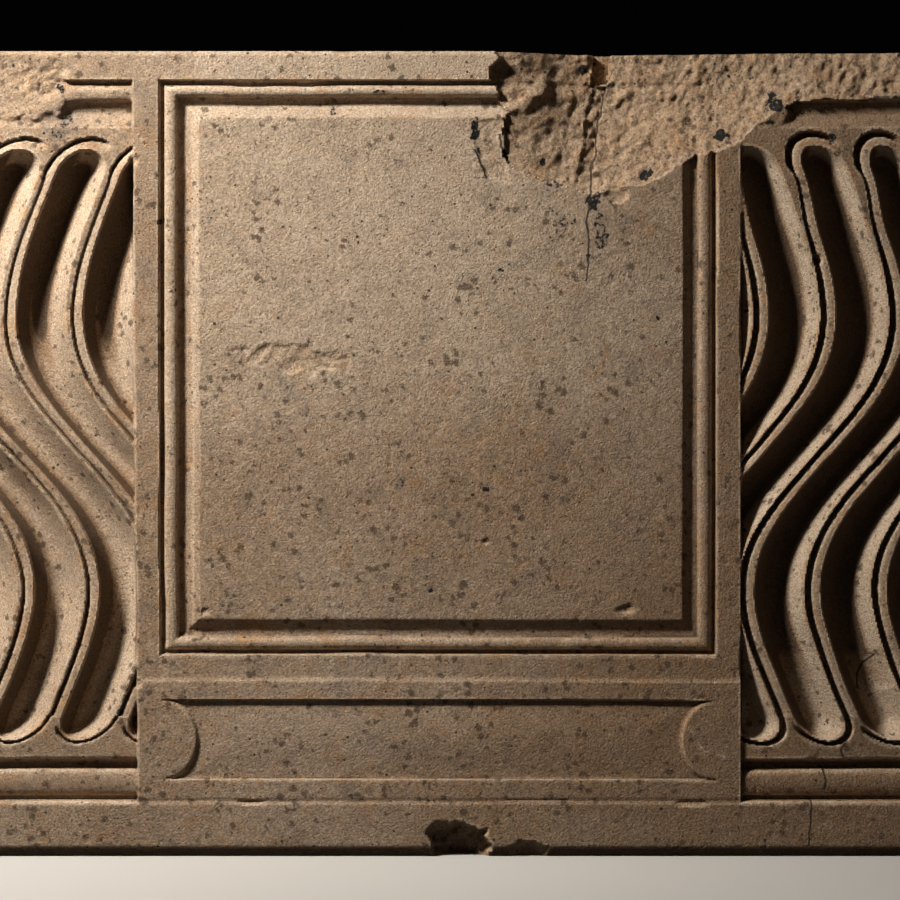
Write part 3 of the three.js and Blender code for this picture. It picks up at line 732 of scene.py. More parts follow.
def front_depth(x, z):
    """How far the carved front lies behind the foot's face, and where it is rough."""
    lean = BLOCK_LEAN * (z / HEIGHT - 0.5) * 2
    leaning = np.where(np.abs(x) < BLOCK_HALF * LEAN_SHARE, -lean * np.sign(x), 0.0)
    wander = rough(x, z, "front waver")
    x_carved = x + wander + leaning * ease(x, *LEAN_BETWEEN)
    z_carved = z + np.roll(wander, WAVER_ROWS, axis=0)
    half = BLOCK_HALF - PANEL_BAND
    above_plinth = z_carved - PLINTH
    rising = ease(above_plinth, *BAND_STEP)
    depth = BAND_SETBACK * rising
    base = (np.abs(x_carved) < BLOCK_HALF) & (z_carved < BASE_BLOCK_TOP)
    top = ramp(z_carved, BASE_BLOCK_TOP - BASE_STEP, BASE_BLOCK_TOP)
    step = BASE_SETBACK + (BAND_SETBACK - BASE_SETBACK) * top
    depth = np.where(base, np.minimum(depth, step * rising), depth)
    depth = depth + PLINTH_GROOVE * hump(above_plinth - PLINTH_GROOVE_Z, PLINTH_GROOVE_REACH)

    # The hollow is cut less deep at the foot and on the right.
    deeper = HOLLOW_DEPTH - SHALLOW_DEPTH
    foot_lowest = SHALLOW_DEPTH + deeper * ease(x, *FOOT_DEEPENS)
    right_lowest = SHALLOW_DEPTH + deeper * ease(z, *RIGHT_DEEPENS)
    sides = [
        (x_carved + half - PANEL_LEAN * (z / HEIGHT - 0.5), PANEL_LEFT, HOLLOW_DEPTH),
        (half - x_carved, PANEL_RIGHT, right_lowest),
        (z_carved - PANEL_BOTTOM, PANEL_FOOT, foot_lowest),
        (HEIGHT - TOP_BAND - z_carved, PANEL_TOP, HOLLOW_DEPTH),
    ]
    panel, across = framed(sides, PANEL_SETBACK)
    depth = np.where(across > 0, panel, depth)

    low, high = BASE_FIELD
    from_middle, half_height = np.abs(z_carved - (low + high) / 2), (high - low) / 2
    from_side = half - np.abs(x_carved)
    from_boss = (np.hypot(from_side / BASE_BOSS, from_middle / half_height) - 1) * BASE_BOSS
    inward = np.minimum(np.minimum(from_side, half_height - from_middle), from_boss)
    sunk = BASE_FIELD_SETBACK - BASE_FIELD_RISE * ease(inward, 0.0, BASE_FIELD_REACH) - BASE_SETBACK
    depth = np.where(inward > 0, depth + sunk * ramp(inward, 0.0, BASE_FIELD_EDGE), depth)
    groove = hump(from_boss, BOSS_GROOVE_REACH) * (from_side > 0) * (from_middle < half_height)
    depth = depth + BOSS_GROOVE * groove

    for side, first in ((-1, FIRST_LEFT), (1, FIRST_RIGHT)):
        beyond = side * x_carved - BLOCK_HALF
        sides = [
            (HEIGHT - TOP_BAND - z_carved, FIELD_TOP, HOLLOW_DEPTH),
            (above_plinth, FIELD_FOOT, HOLLOW_DEPTH),
            (END - CORNER_BAND - side * x_carved, FIELD_TOP, HOLLOW_DEPTH),
        ]
        field, across = framed(sides, FIELD_SETBACK)
        field = np.where(across >= 1, strigil_depth(x_carved, z_carved, first, side), field)
        edge = ramp(beyond, *FIELD_EDGE)
        inner = (across > 0) & (beyond > FIELD_EDGE[0])
        depth = np.where(inner, depth * (1 - edge) + field * edge, depth)

    depth = depth + BEVEL_DEPTH * ramp(PLINTH_BEVEL - z, 0.0, PLINTH_BEVEL) ** BEVEL_CURVE
    for edge, (deep, reach) in ((END - np.abs(x), END_ARRIS), (HEIGHT - z, RIM_ARRIS)):
        depth = depth + deep * ramp(edge, reach, 0.0) ** 2
    depth = depth + SKIN + rough(x, z, "front swell")
    depth, marks = damage(x, z, depth)
    depth = depth + rough(x, z, "front grain") + PIT_DEPTH * ease(rough(x, z, "pits"), *PIT_SIZES)
    return np.maximum(depth, 0.0), marks


# Meshes: spacings in millimetres, and angles in degrees
COARSE = 12.0
FRONT_SKIN = 40.0
# The front's columns lie closest under the flutes that the photograph shows, then in the middle.
COLUMN_SPACINGS = ((1.0, 1.3, 2.4))
ROW_SPACING = 1.15
LID_SPACING = 6.0
SEEN = 335.0
CALM = 160.0
SMOOTH_ANGLE = 40.0
STONE_ANGLE = 55.0
# The zipper's places run from 0 to this round a rectangle.
SIDES = 4.0
# The dressing of sides and back, how little of it the foot and the front's edge have, and worn arrises
ARRIS = 3.0
DRESSING = 0.9
SMOOTH_EDGE_SHARE = 0.3
CORNER_WEAR = 2.2
BACK_WEAR = 1.8
LEAN_OF_LUMPS = 1.3
# How far round a point its surroundings reach, and the depth that counts as a narrow cut, as a share
SURROUNDINGS = (2.0, 3.5)
NARROW_SHARE = 0.35
# The darkening in the cuts, partly grime and partly painted shade, is weaker on the left.
LEFT_CUT_FADE_SHARE = 0.6
LEFT_CUT_FADE = (-180.0, 60.0)


def columns():
    """The x of the front's columns: close where the photograph looks, and wider beyond."""
    fine, usual, wide = COLUMN_SPACINGS
    outer = np.linspace(-END, -SEEN, int((END - SEEN) / wide), endpoint=False)
    left = np.linspace(-SEEN, -CALM, int((SEEN - CALM) / fine), endpoint=False)
    middle = np.linspace(-CALM, CALM, int(2 * CALM / usual), endpoint=False)
    right = np.linspace(CALM, SEEN, int((SEEN - CALM) / fine), endpoint=False)
    return np.concatenate([outer, left, middle, right, -outer[::-1]])


def mesh_object(name, points, faces, smooth_angle=SMOOTH_ANGLE):
    """A mesh object from points in millimetres and a list of face arrays, each of one corner count."""
    mesh = bpy.data.meshes.new(name)
    faces = [np.asarray(block, np.int32) for block in faces if len(block)]
    mesh.vertices.add(len(points))
    mesh.vertices.foreach_set("co", (np.asarray(points, float) * MM).astype(np.float32).ravel())
    corners = np.concatenate([block.ravel() for block in faces])
    totals = np.concatenate([np.full(len(block), block.shape[1], np.int32) for block in faces])
    mesh.loops.add(len(corners))
    mesh.loops.foreach_set("vertex_index", corners)
    mesh.polygons.add(len(totals))
    starts = np.concatenate([[0], np.cumsum(totals)[:-1]]).astype(np.int32)
    mesh.polygons.foreach_set("loop_start", starts)
    mesh.polygons.foreach_set("loop_total", totals)
    mesh.update(calc_edges=True)
    mesh.validate()
    made = bpy.data.objects.new(name, mesh)
    bpy.context.scene.collection.objects.link(made)
    shade(made, smooth_angle)
    return made


def shade(made, angle):
    """Smooth shading, with edges sharper than angle in degrees kept."""
    mesh = made.data
    mesh.polygons.foreach_set("use_smooth", np.ones(len(mesh.polygons), bool))
    mesh.set_sharp_from_angle(angle=math.radians(angle))


def quads_of(grid):
    """The quads of a grid of point numbers."""
    return np.stack([grid[:-1, :-1], grid[:-1, 1:], grid[1:, 1:], grid[1:, :-1]], -1).reshape(-1, 4)


def rim_of(grid):
    """The point numbers round a grid, from its first corner along its first row."""
    return np.concatenate([grid[0, :-1], grid[:-1, -1], grid[-1, :0:-1], grid[:0:-1, 0]])


def zipper(fine, fine_at, coarse, coarse_at):
    """Triangles between two closed loops whose points lie at rising places round the loop."""
    made = []
    i, j = 0, 0
    n, m = len(fine), len(coarse)
    fine_at = np.append(fine_at, fine_at[0] + SIDES)
    coarse_at = np.append(coarse_at, coarse_at[0] + SIDES)
    while i < n or j < m:
        if j >= m or (i < n and fine_at[i + 1] <= coarse_at[j + 1]):
            made.append((fine[i % n], coarse[j % m], fine[(i + 1) % n]))
            i += 1
        else:
            made.append((fine[i % n], coarse[j % m], coarse[(j + 1) % m]))
            j += 1
    return made


def perimeter(x_cells, z_cells):
    """Places from 0 to SIDES round a rectangle, and its points as shares of its width and height."""
    bottom = [(share, share, 0.0) for share in x_cells[:-1]]
    right = [(1 + share, 1.0, share) for share in z_cells[:-1]]
    top = [(2 + share, 1 - share, 1.0) for share in x_cells[:-1]]
    left = [(3 + share, 0.0, 1 - share) for share in z_cells[:-1]]
    every = np.array(bottom + right + top + left)
    return every[:, 0], every[:, 1:]


def cells(length):
    """Even shares of a length in coarse steps, with a narrow step at each end for the arris."""
    inner = np.linspace(COARSE / length, 1 - COARSE / length, int(length / COARSE) - 1)
    arris = np.array([0.0, ARRIS / length])
    return np.concatenate([arris, inner, 1 - arris[::-1]])


def dressed_sides(shares):
    """Loops of points round the block, from behind the carved front to the back."""
    stations = np.arange(FRONT + FRONT_SKIN, BACK - ARRIS, COARSE)
    stations = np.concatenate([stations[:-1], [BACK - ARRIS, BACK]])
    x, z = (shares[:, 0] * 2 - 1) * END, shares[:, 1] * HEIGHT
    on_edge = np.isin(shares, (0.0, 1.0))
    corner = on_edge.all(axis=1)
    loops = []
    for y in stations:
        loop_y = np.full(len(x), y)
        lumps = DRESSING + rough(x + z * LEAN_OF_LUMPS, loop_y, "side lumps")
        lumps = np.clip(lumps, 0.0, None) * np.where(z == 0, SMOOTH_EDGE_SHARE, 1.0)
        if y == stations[0]:
            lumps = lumps * SMOOTH_EDGE_SHARE
        lumps = lumps + CORNER_WEAR * corner + (BACK_WEAR if y == BACK else 0.0)
        inset = np.sign(shares * 2 - 1) * on_edge * lumps[:, None]
        loops.append(np.stack([x - inset[:, 0], loop_y, np.maximum(z - inset[:, 1], 0.0)], -1))
    return loops


def chest_block():
    """The block with its carved front and its rough sides and back, not yet hollowed."""
    x_front, z_front = columns(), np.linspace(0.0, HEIGHT, int(HEIGHT / ROW_SPACING))
    x, z = np.meshgrid(x_front, z_front)
    depth, marks = front_depth(x, z)
    front = np.stack([x, FRONT + depth, z], -1).reshape(-1, 3)
    grid = np.arange(x.size).reshape(x.shape)
    x_share = (x_front + END) / (2 * END)
    z_share = z_front / HEIGHT
    rim_at = [x_share[:-1], 1 + z_share[:-1], 3 - x_share[:0:-1], SIDES - z_share[:0:-1]]
    x_cells, z_cells = cells(2 * END), cells(HEIGHT)
    places, shares = perimeter(x_cells, z_cells)
    loops = dressed_sides(shares)
    around = len(places)
    loop = x.size + np.arange(around)
    triangles = zipper(rim_of(grid), np.concatenate(rim_at), loop, places)
    quads = [quads_of(grid)]
    for _ in loops[1:]:
        beside = np.roll(loop, -1)
        quads.append(np.stack([loop, loop + around, beside + around, beside], -1))
        loop = loop + around
    # The back is a grid whose border is the last loop.
    wide, tall = len(x_cells), len(z_cells)
    back = np.full((tall, wide), -1)
    parts = np.split(loop, np.cumsum([wide - 1, tall - 1, wide - 1]))
    back[0, :-1], back[:-1, -1], back[-1, :0:-1], back[:0:-1, 0] = parts
    inner_x, inner_z = np.meshgrid((x_cells[1:-1] * 2 - 1) * END, z_cells[1:-1] * HEIGHT)
    back[1:-1, 1:-1] = loop[-1] + 1 + np.arange(inner_x.size).reshape(inner_x.shape)
    lumps = np.clip(DRESSING + rough(inner_x, inner_z, "back lumps"), 0.0, None)
    behind = np.stack([inner_x, BACK - lumps, inner_z], -1).reshape(-1, 3)
    quads.append(quads_of(back.T))
    points = np.concatenate([front, *loops, behind])
    made = mesh_object("chest_stone", points, [np.concatenate(quads), triangles], STONE_ANGLE)
    # How sunk each point is: it paints the cuts darker, partly as grime and partly as painted shade, and the
    # arrises paler, partly as wear and partly as painted highlight.
    soil_and_shade = hollowness(depth, x_front, z_front)
    soil_and_shade = np.where(soil_and_shade > 0, soil_and_shade * least(ease(x, *LEFT_CUT_FADE), LEFT_CUT_FADE_SHARE), soil_and_shade)
    crack = crack_offset(x, z)
    for name, values, elsewhere in (
        ("rough", marks, 0.0),
        ("crack", crack, CRACK_ROOM),
        ("lichen", lichen(x, z), 0.0),
        ("soil_and_shade", soil_and_shade, 0.0),
        ("patina_and_shade", patina_and_shade(x, z, depth, marks, crack), 0.0),
    ):
        kept = made.data.attributes.new(name, "FLOAT", "POINT")
        every = np.append(values.ravel(), np.full(len(points) - x.size, elsewhere))
        kept.data.foreach_set("value", every.astype(np.float32))
    return made


def hollowness(depth, x_front, z_front):
    """How far each point lies below its surroundings, from -1 on an arris to 1 in a narrow cut."""
    total = np.zeros_like(depth)
    for reach in SURROUNDINGS:
        mean = depth
        for axis, line in ((0, z_front), (1, x_front)):
            third = len(line) // 3
            usual = np.median(np.gradient(line)[third:-third])
            wide = max(1, int(reach / usual))
            padded = np.pad(mean, [(wide + 1, wide) if a == axis else (0, 0) for a in (0, 1)], mode="edge")
            sums = np.cumsum(padded, axis=axis)
            window = 2 * wide + 1
            upper = np.take(sums, range(window, sums.shape[axis]), axis=axis)
            lower = np.take(sums, range(0, sums.shape[axis] - window), axis=axis)
            mean = (upper - lower) / window
        total += np.clip((depth - mean) / (NARROW_SHARE * reach), -1.0, 1.0) / len(SURROUNDINGS)
    return total


def box_object(name, low, high):
    """A plain box between two corners in millimetres, used as a cutter."""
    (x0, y0, z0), (x1, y1, z1) = low, high
    points = [(x, y, z) for z in (z0, z1) for x, y in ((x0, y0), (x1, y0), (x1, y1), (x0, y1))]
    faces = [(3, 2, 1, 0), (4, 5, 6, 7), (0, 1, 5, 4), (1, 2, 6, 5), (2, 3, 7, 6), (3, 0, 4, 7)]
    return mesh_object(name, points, [faces])


def cut_out(made, cutter):
    """Cuts another closed mesh out of a piece, and removes it."""
    change = made.modifiers.new("cut", "BOOLEAN")
    change.operation = "DIFFERENCE"
    change.solver = "MANIFOLD"
    change.object = cutter
    bpy.context.view_layer.update()
    shown = bpy.context.evaluated_depsgraph_get()
    result = bpy.data.meshes.new_from_object(made.evaluated_get(shown))
    made.modifiers.clear()
    old = made.data
    made.data = result
    result.name = old.name
    bpy.data.meshes.remove(old)
    spent = cutter.data
    bpy.data.objects.remove(cutter)
    bpy.data.meshes.remove(spent)


def loft_object(name, loops):
    """A closed solid through loops of equally many points, with flat ends."""
    loops = [np.asarray(loop, float) for loop in loops]
    around = len(loops[0])
    quads = []
    for number in range(len(loops) - 1):
        here = number * around + np.arange(around)
        beside = np.roll(here, -1)
        quads.append(np.stack([here, beside, beside + around, here + around], -1))
    first = np.arange(around)[None, ::-1]
    last = (len(loops) - 1) * around + np.arange(around)[None, :]
    return mesh_object(name, np.concatenate(loops), [np.concatenate(quads), first, last])


def rounded_plan(half_x, half_y, radius, steps, spacing):
    """Points round a rectangle with rounded corners, counterclockwise, at most spacing apart."""
    points = []
    for number, (x_side, y_side) in enumerate(((1, -1), (1, 1), (-1, 1), (-1, -1))):
        x, y = x_side * (half_x - radius), y_side * (half_y - radius)
        for step in range(steps + 1):
            turn = math.pi / 2 * (number - 1 + step / steps)
            points.append((x + radius * math.cos(turn), y + radius * math.sin(turn)))
    dense = []
    for (xa, ya), (xb, yb) in zip(points, points[1:] + points[:1]):
        parts = max(1, int(math.hypot(xb - xa, yb - ya) / spacing))
        for part in range(parts):
            share = part / parts
            dense.append((xa + (xb - xa) * share, ya + (yb - ya) * share))
    return np.array(dense)


# The hollow: the hand-cut walls, and the head rest's back as shares of its slope and height
HOLLOW_STEP = 24.0
HOLLOW_SPACING = 40.0
HOLLOW_CORNER_STEPS = 8
FLOOR_ROUNDING = 14.0
HOLLOW_DRESSING = 1.0
LEAN_IN_HOLLOW = 1.7
HEAD_REST_SHARES = ((0.0, 0.0), (0.5, 0.62), (1.0, 0.95), (1.6, 1.0))
HEAD_REST_DIP = 50.0
HEAD_REST_END_SHARES = (0.86, 0.95)


def cavity_cutter():
    """The hollow with its hand-cut walls, less the raised head rest."""
    plan = rounded_plan(END - WALL, BACK - WALL, CAVITY_CORNER, HOLLOW_CORNER_STEPS, HOLLOW_SPACING)
    loops = []
    for z in np.arange(FLOOR, HEIGHT + COARSE, HOLLOW_STEP):
        height = np.full(len(plan), z)
        rounding = FLOOR_ROUNDING * (1 - ramp(z, FLOOR, FLOOR + HOLLOW_STEP))
        wobble = rough(plan[:, 0] + plan[:, 1] * LEAN_IN_HOLLOW, height, "hollow lumps")
        shrink = 1 - (rounding + HOLLOW_DRESSING + wobble) / np.hypot(plan[:, 0], plan[:, 1])
        loops.append(np.column_stack([plan * shrink[:, None], height]))
    cutter = loft_object("cavity", loops)
    foot = -END + WALL + HEAD_REST_LENGTH + HEAD_REST_SLOPE
    profile = [(-END, 0.0), (foot, 0.0)]
    for back, up in HEAD_REST_SHARES:
        profile.append((foot - HEAD_REST_SLOPE * back, FLOOR + HEAD_REST_HEIGHT * up))
    for x, up in zip((-END + WALL + HEAD_REST_DIP, -END), HEAD_REST_END_SHARES):
        profile.append((x, FLOOR + HEAD_REST_HEIGHT * up))
    sides = [[(x, y, z) for x, z in profile] for y in (BACK, FRONT)]
    cut_out(cutter, loft_object("head_rest", sides))
    return cutter


# Cramps, their channels and their seats of lead
CRAMPS = ("front_left", "front_right", "back_left", "back_right")
CHANNEL_GAP = 2.0
SEAT_GAP = 0.3


def seat_cutter(low, high, x_gap, y_gap, floor):
    """A box with room round a seat, open above the rim."""
    return box_object(
        "seat",
        (low[0] - x_gap, low[1] - y_gap, floor),
        (high[0] + x_gap, high[1] + y_gap, HEIGHT + COARSE),
    )


def cut_channels(made):
    """Cuts each cramp's channel across rim and lid, and the sockets of its two legs."""
    for where in CRAMPS:
        low, high = node_box("cramp_" + where)
        seats = [node_box(lead + where) for lead in ("rim_lead_", "lid_lead_")]
        y_low = min(seat_low[1] for seat_low, _ in seats)
        y_high = max(seat_high[1] for _, seat_high in seats)
        floor = seats[0][1][2]
        cut_out(made, seat_cutter((low[0], y_low), (high[0], y_high), CHANNEL_GAP, SEAT_GAP, floor))
        for seat_low, seat_high in seats:
            cut_out(made, seat_cutter(seat_low, seat_high, SEAT_GAP, SEAT_GAP, seat_low[2] - SEAT_GAP))


def make_chest():
    chest = chest_block()
    cut_out(chest, cavity_cutter())
    cut_out(chest, seat_cutter(LID_LOW, LID_HIGH, LID_GAP, LID_GAP, LID_LOW[2] - SEAT_GAP))
    cut_channels(chest)
    shade(chest, STONE_ANGLE)
    return chest


# The lid's worn top, and each lever notch's foot and mouth: height, half length and half width
LID_WEAR = 0.8
LID_TOOLING = 0.5
LID_ARRIS_FALL = 5.0
LID_ARRIS_REACH = 6.0
LID_ARRIS_STEEPNESS = 1.5
LEVER_NOTCH = ((-26.0, 16.0, 36.0), (4.0, 24.0, 41.0))


def make_lid():
    """A slab with a claw-tooled top, hollowed by its dressing, and a notch for a lever at each end."""
    (x_low, y_low, z_low), (x_high, y_high, z_high) = LID_LOW, LID_HIGH
    x_line = np.linspace(x_low, x_high, int((x_high - x_low) / LID_SPACING))
    y_line = np.linspace(y_low, y_high, int((y_high - y_low) / LID_SPACING))
    x, y = np.meshgrid(x_line, y_line)
    edge = np.minimum(np.minimum(x - x_low, x_high - x), np.minimum(y - y_low, y_high - y))
    arris = (1 - ramp(edge, 0.0, LID_ARRIS_REACH)) ** LID_ARRIS_STEEPNESS
    fall = LID_WEAR + rough(x, y, "lid swell") + LID_ARRIS_FALL * arris
    fall = fall + LID_TOOLING * ease(rough(x + y, x - y, "lid tooling"), 0.0, 1.0)
    top = np.stack([x, y, z_high - np.clip(fall, 0.0, None)], -1).reshape(-1, 3)
    grid = np.arange(x.size).reshape(x.shape)
    rim = rim_of(grid)
    foot = top[rim].copy()
    foot[:, 2] = z_low
    below = x.size + np.arange(len(rim))
    skirt = np.stack([below, np.roll(below, -1), np.roll(rim, -1), rim], -1)
    points = np.concatenate([top, foot])
    lid = mesh_object("lid_stone", points, [quads_of(grid), skirt, below[None, ::-1]])
    cut_channels(lid)
    for end in (-x_high, x_high):
        loops = []
        for lift, reach, wide in LEVER_NOTCH:
            corners = ((-reach, -wide), (reach, -wide), (reach, wide), (-reach, wide))
            loops.append([(end + across, along, z_high + lift) for across, along in corners])
        cut_out(lid, loft_object("lever_notch", loops))
    shade(lid, SMOOTH_ANGLE)
    return lid


# The bar of a cramp: its section, its bends, and how many points run along each stretch
BAR_THICK = 9.0
BAR_ARRIS = 1.6
BAR_SPACING = 3.0
ARRIS_STEPS = 3
BEND_RADIUS = 12.0
BEND_STEPS = 6
LEG_POINTS = 7
BAR_POINTS = 22
HAMMERED_SHARE = 0.035
DENT_STEP = 3.1


def make_cramp(where):
    """A forged bar bent down at both ends, with worn arrises and hammered faces."""
    (x_low, y_low, foot), (x_high, y_high, top) = node_box("cramp_" + where)
    half = BAR_THICK / 2
    middle = BEND_RADIUS - half
    leg = np.linspace(foot, top - BEND_RADIUS, LEG_POINTS)
    bar = np.linspace(y_low + BEND_RADIUS, y_high - BEND_RADIUS, BAR_POINTS)

    def bend(y, quarter):
        turns = math.pi / 2 * (quarter + np.arange(1, BEND_STEPS + 1) / BEND_STEPS)
        return [(y - middle * math.cos(turn), leg[-1] + middle * math.sin(turn), turn) for turn in turns]

    path = [(y_low + half, z, 0.0) for z in leg] + bend(bar[0], 0)
    path += [(y, top - half, math.pi / 2) for y in bar[1:]] + bend(bar[-1], 1)
    path += [(y_high - half, z, math.pi) for z in leg[-2::-1]]
    section = rounded_plan((x_high - x_low) / 2, half, BAR_ARRIS, ARRIS_STEPS, BAR_SPACING)
    loops = []
    for place, (y, z, turn) in enumerate(path):
        dents = rough(section[:, 0] + place * DENT_STEP, section[:, 1] * 2, "cramp dents", len(where))
        across = section * (1 - HAMMERED_SHARE - dents)[:, None]
        # The section's second direction points out of the bend.
        y_out = y - across[:, 1] * math.cos(turn)
        z_out = z + across[:, 1] * math.sin(turn)
        loops.append(np.column_stack([(x_low + x_high) / 2 - across[:, 0], y_out, z_out]))
    return loft_object("cramp_bar_" + where, loops)


# Poured lead: how far in and how far down its shoulder, its edge, its dip and its lip lie
LEAD_TAPER = 0.2
LEAD_SHOULDER = 1.6
LEAD_EDGE = (1.2, 0.6)
LEAD_DIP = 1.0
LEAD_LIP = (0.6, 0.2)
LEAD_CORNER = 2.0
LEAD_CORNER_SHARE = 0.4


def make_lead(node, where):
    """Lead poured round one leg of a cramp, drawn up a little against the iron."""
    (x_low, y_low, foot), (x_high, y_high, top) = node_box(node + "_" + where)
    cramp_low, cramp_high = node_box("cramp_" + where)
    half = (x_high - x_low) / 2
    leg_x = (cramp_high[0] - cramp_low[0]) / 2 + SEAT_GAP
    leg_y = BAR_THICK / 2 + SEAT_GAP
    shapes = [
        (half - LEAD_TAPER, half - LEAD_TAPER, foot),
        (half, half, top - LEAD_SHOULDER),
        (half - LEAD_EDGE[0], half - LEAD_EDGE[0], top - LEAD_EDGE[1]),
        ((half + leg_x) / 2, (half + leg_y) / 2, top - LEAD_DIP),
        (leg_x + LEAD_LIP[0], leg_y + LEAD_LIP[0], top - LEAD_LIP[1]),
        (leg_x, leg_y, top),
        (leg_x, leg_y, cramp_low[2] - SEAT_GAP),
    ]
    loops = []
    for wide, deep, z in shapes:
        corner = min(LEAD_CORNER, deep * LEAD_CORNER_SHARE)
        plan = rounded_plan(wide, deep, corner, ARRIS_STEPS, math.inf)
        height = np.full(len(plan), z)
        if foot < z < top:
            dents = rough(plan[:, 0], plan[:, 1] + z, "lead dents", len(where))
            height = np.minimum(height + dents, top)
        loops.append(np.column_stack([plan + ((x_low + x_high) / 2, (y_low + y_high) / 2), height]))
    return loft_object(node + "_fill_" + where, loops)


# Materials: colours are linear red, green and blue

CREAM = (0.465, 0.35, 0.252)
PALE = (0.64, 0.505, 0.375)
TAN = (0.36, 0.245, 0.155)
GREY = (0.23, 0.185, 0.15)
ORANGE = (0.42, 0.22, 0.09)
UMBER = (0.085, 0.055, 0.034)
LICHEN = (0.016, 0.016, 0.015)
BROKEN = (0.66, 0.465, 0.305)
PATINA_AND_SHADE = (0.24, 0.14, 0.072)
IRON_BROWN = (0.085, 0.045, 0.028)
IRON_RED = (0.21, 0.095, 0.04)
IRON_SCALE = (0.035, 0.025, 0.022)
LEAD_DARK = (0.17, 0.175, 0.18)
LEAD_BRIGHT = (0.36, 0.355, 0.34)
FLOOR_TONES = ((0.60, 0.59, 0.575), (0.64, 0.63, 0.615))
FLOOR_THROWN = (0.05, 0.048, 0.046)

# Noises: the size in millimetres, detail, roughness and distortion
NOISES = {
    "clouds": (170.0, 4.0, 0.6, 0.0),
    "blotches": (30.0, 6.0, 0.65, 0.4),
    "streaks": (20.0, 6.0, 0.7, 1.0),
    "mottle": (5.0, 5.0, 0.75, 0.0),
    "grain": (1.5, 3.0, 0.8, 0.0),
    "scales": (3.6, 5.0, 0.75, 0.0),
    "dots": (3.0, 3.0, 0.7, 0.0),
    "crowds": (85.0, 4.0, 0.6, 0.0),
    "patches": (7.0, 5.0, 0.75, 0.5),
    "speck sizes": (9.0, 2.0, 0.55, 0.0),
    "smudge sizes": (26.0, 2.0, 0.55, 0.0),
    "smudge edges": (2.4, 4.0, 0.7, 0.0),
    "pit sizes": (20.0, 2.0, 0.55, 0.0),
    "rust": (14.0, 6.0, 0.65, 0.0),
    "fine rust": (2.2, 5.0, 0.7, 0.0),
    "dull": (10.0, 5.0, 0.6, 0.0),
    "fine dull": (1.8, 4.0, 0.6, 0.0),
    "floor": (900.0, 2.0, 0.4, 0.0),
}
# How far apart scattered points lie, in millimetres
SPACINGS = {"specks": 4.2, "smudges": 8.5, "pits": 8.0, "pores": 2.4}
# Bands turn a value into a share: from and to, then the shares there
BANDS = {
    "uneven": (0.35, 0.65, 0.6, 1.0),
    "pale": (0.0, 1.0, 0.0, 0.8),
    "brown": (0.0, -1.0, 0.0, 0.9),
    "umber": (-0.88, -1.0, 0.0, 0.8),
    "soil_and_shade": (0.25, 0.8, 0.0, 0.6),
    "crumbly soil": (0.2, 0.6, 0.5, 1.0),
    "arris": (-0.15, -0.6, 0.0, 0.8),
    "worn arris": (0.35, 0.6, 0.3, 1.0),
    "warm": (-0.05, -0.4, 0.0, 0.5),
    "warm streaks": (0.46, 0.62, 0.0, 1.0),
    "broken": (0.0, 1.0, 0.0, 0.75),
    "broken tan": (0.42, 0.60, 0.0, 1.0),
    "broken orange": (0.48, 0.62, 0.0, 0.5),
    "broken umber": (0.56, 0.70, 0.0, 0.8),
    "grains": (0.30, 0.70, 0.24, 0.76),
    "crack": (0.4, 1.0, 0.9, 0.0),
    "lichen stain": (0.0, 1.0, 0.0, 0.35),
    "lichen dots": (0.30, 0.70, -0.5, 0.5),
    "lichen": (0.5, 0.68, 0.0, 1.0),
    "crowded": (0.38, 0.64, 0.45, 1.0),
    "speck sizes": (0.35, 0.75, 0.06, 0.34),
    "speck": (0.0, 0.09, 0.0, 0.85),
    "smudge edges": (0.3, 0.7, -0.22, 0.22),
    "smudge sizes": (0.36, 0.64, 0.06, 0.36),
    "smudge": (-0.02, 0.11, 0.0, 0.78),
    "pit sizes": (0.35, 0.68, 0.03, 0.16),
    "pit": (0.0, 0.03, 0.0, 0.85),
    "patches": (0.60, 0.68, 0.0, 0.8),
    "very crowded": (0.50, 0.66, 0.0, 1.0),
    "pores": (0.0, 0.35, 0.0, 1.0),
    "stone roughness": (0.3, 0.7, 0.66, 0.92),
    "rust": (0.35, 0.65, 0.0, 1.0),
    "iron scale": (0.55, 0.75, 0.0, 0.7),
    "iron roughness": (0.3, 0.7, 0.6, 0.92),
    "lead": (0.35, 0.7, 0.0, 1.0),
    "lead roughness": (0.3, 0.7, 0.48, 0.75),
    "floor": (0.3, 0.7, 0.0, 1.0),
}
# Layers of colour in the marble: the noise, from and to, the share at to, and the colour
LAYERS = [
    ("clouds", 0.38, 0.64, 1.0, TAN),
    ("blotches", 0.54, 0.76, 0.45, PALE),
    ("blotches", 0.48, 0.30, 0.7, GREY),
    ("streaks", 0.52, 0.70, 0.6, ORANGE),
    ("mottle", 0.50, 0.68, 0.5, GREY),
    ("mottle", 0.46, 0.32, 0.35, PALE),
]
# Bumps, in millimetres, and how strongly they shade
MOTTLE_RELIEF = 0.9
GRAIN_RELIEF = 0.8
SCALE_RELIEF = -2.2
PORE_RELIEF = 0.35
RUST_RELIEFS = (0.5, 0.6)
LEAD_RELIEFS = (0.5, 0.15)
STONE_BUMP_SHARE = 0.9
METAL_BUMP_SHARE = 0.8
STONE_SPECULAR = 0.25
METAL_SPECULAR = 0.5
FLOOR_SPECULAR = 0.2
FLOOR_ROUGHNESS = 0.85
IRON_METAL_SHARE = 0.25
LEAD_METAL_SHARE = 0.7


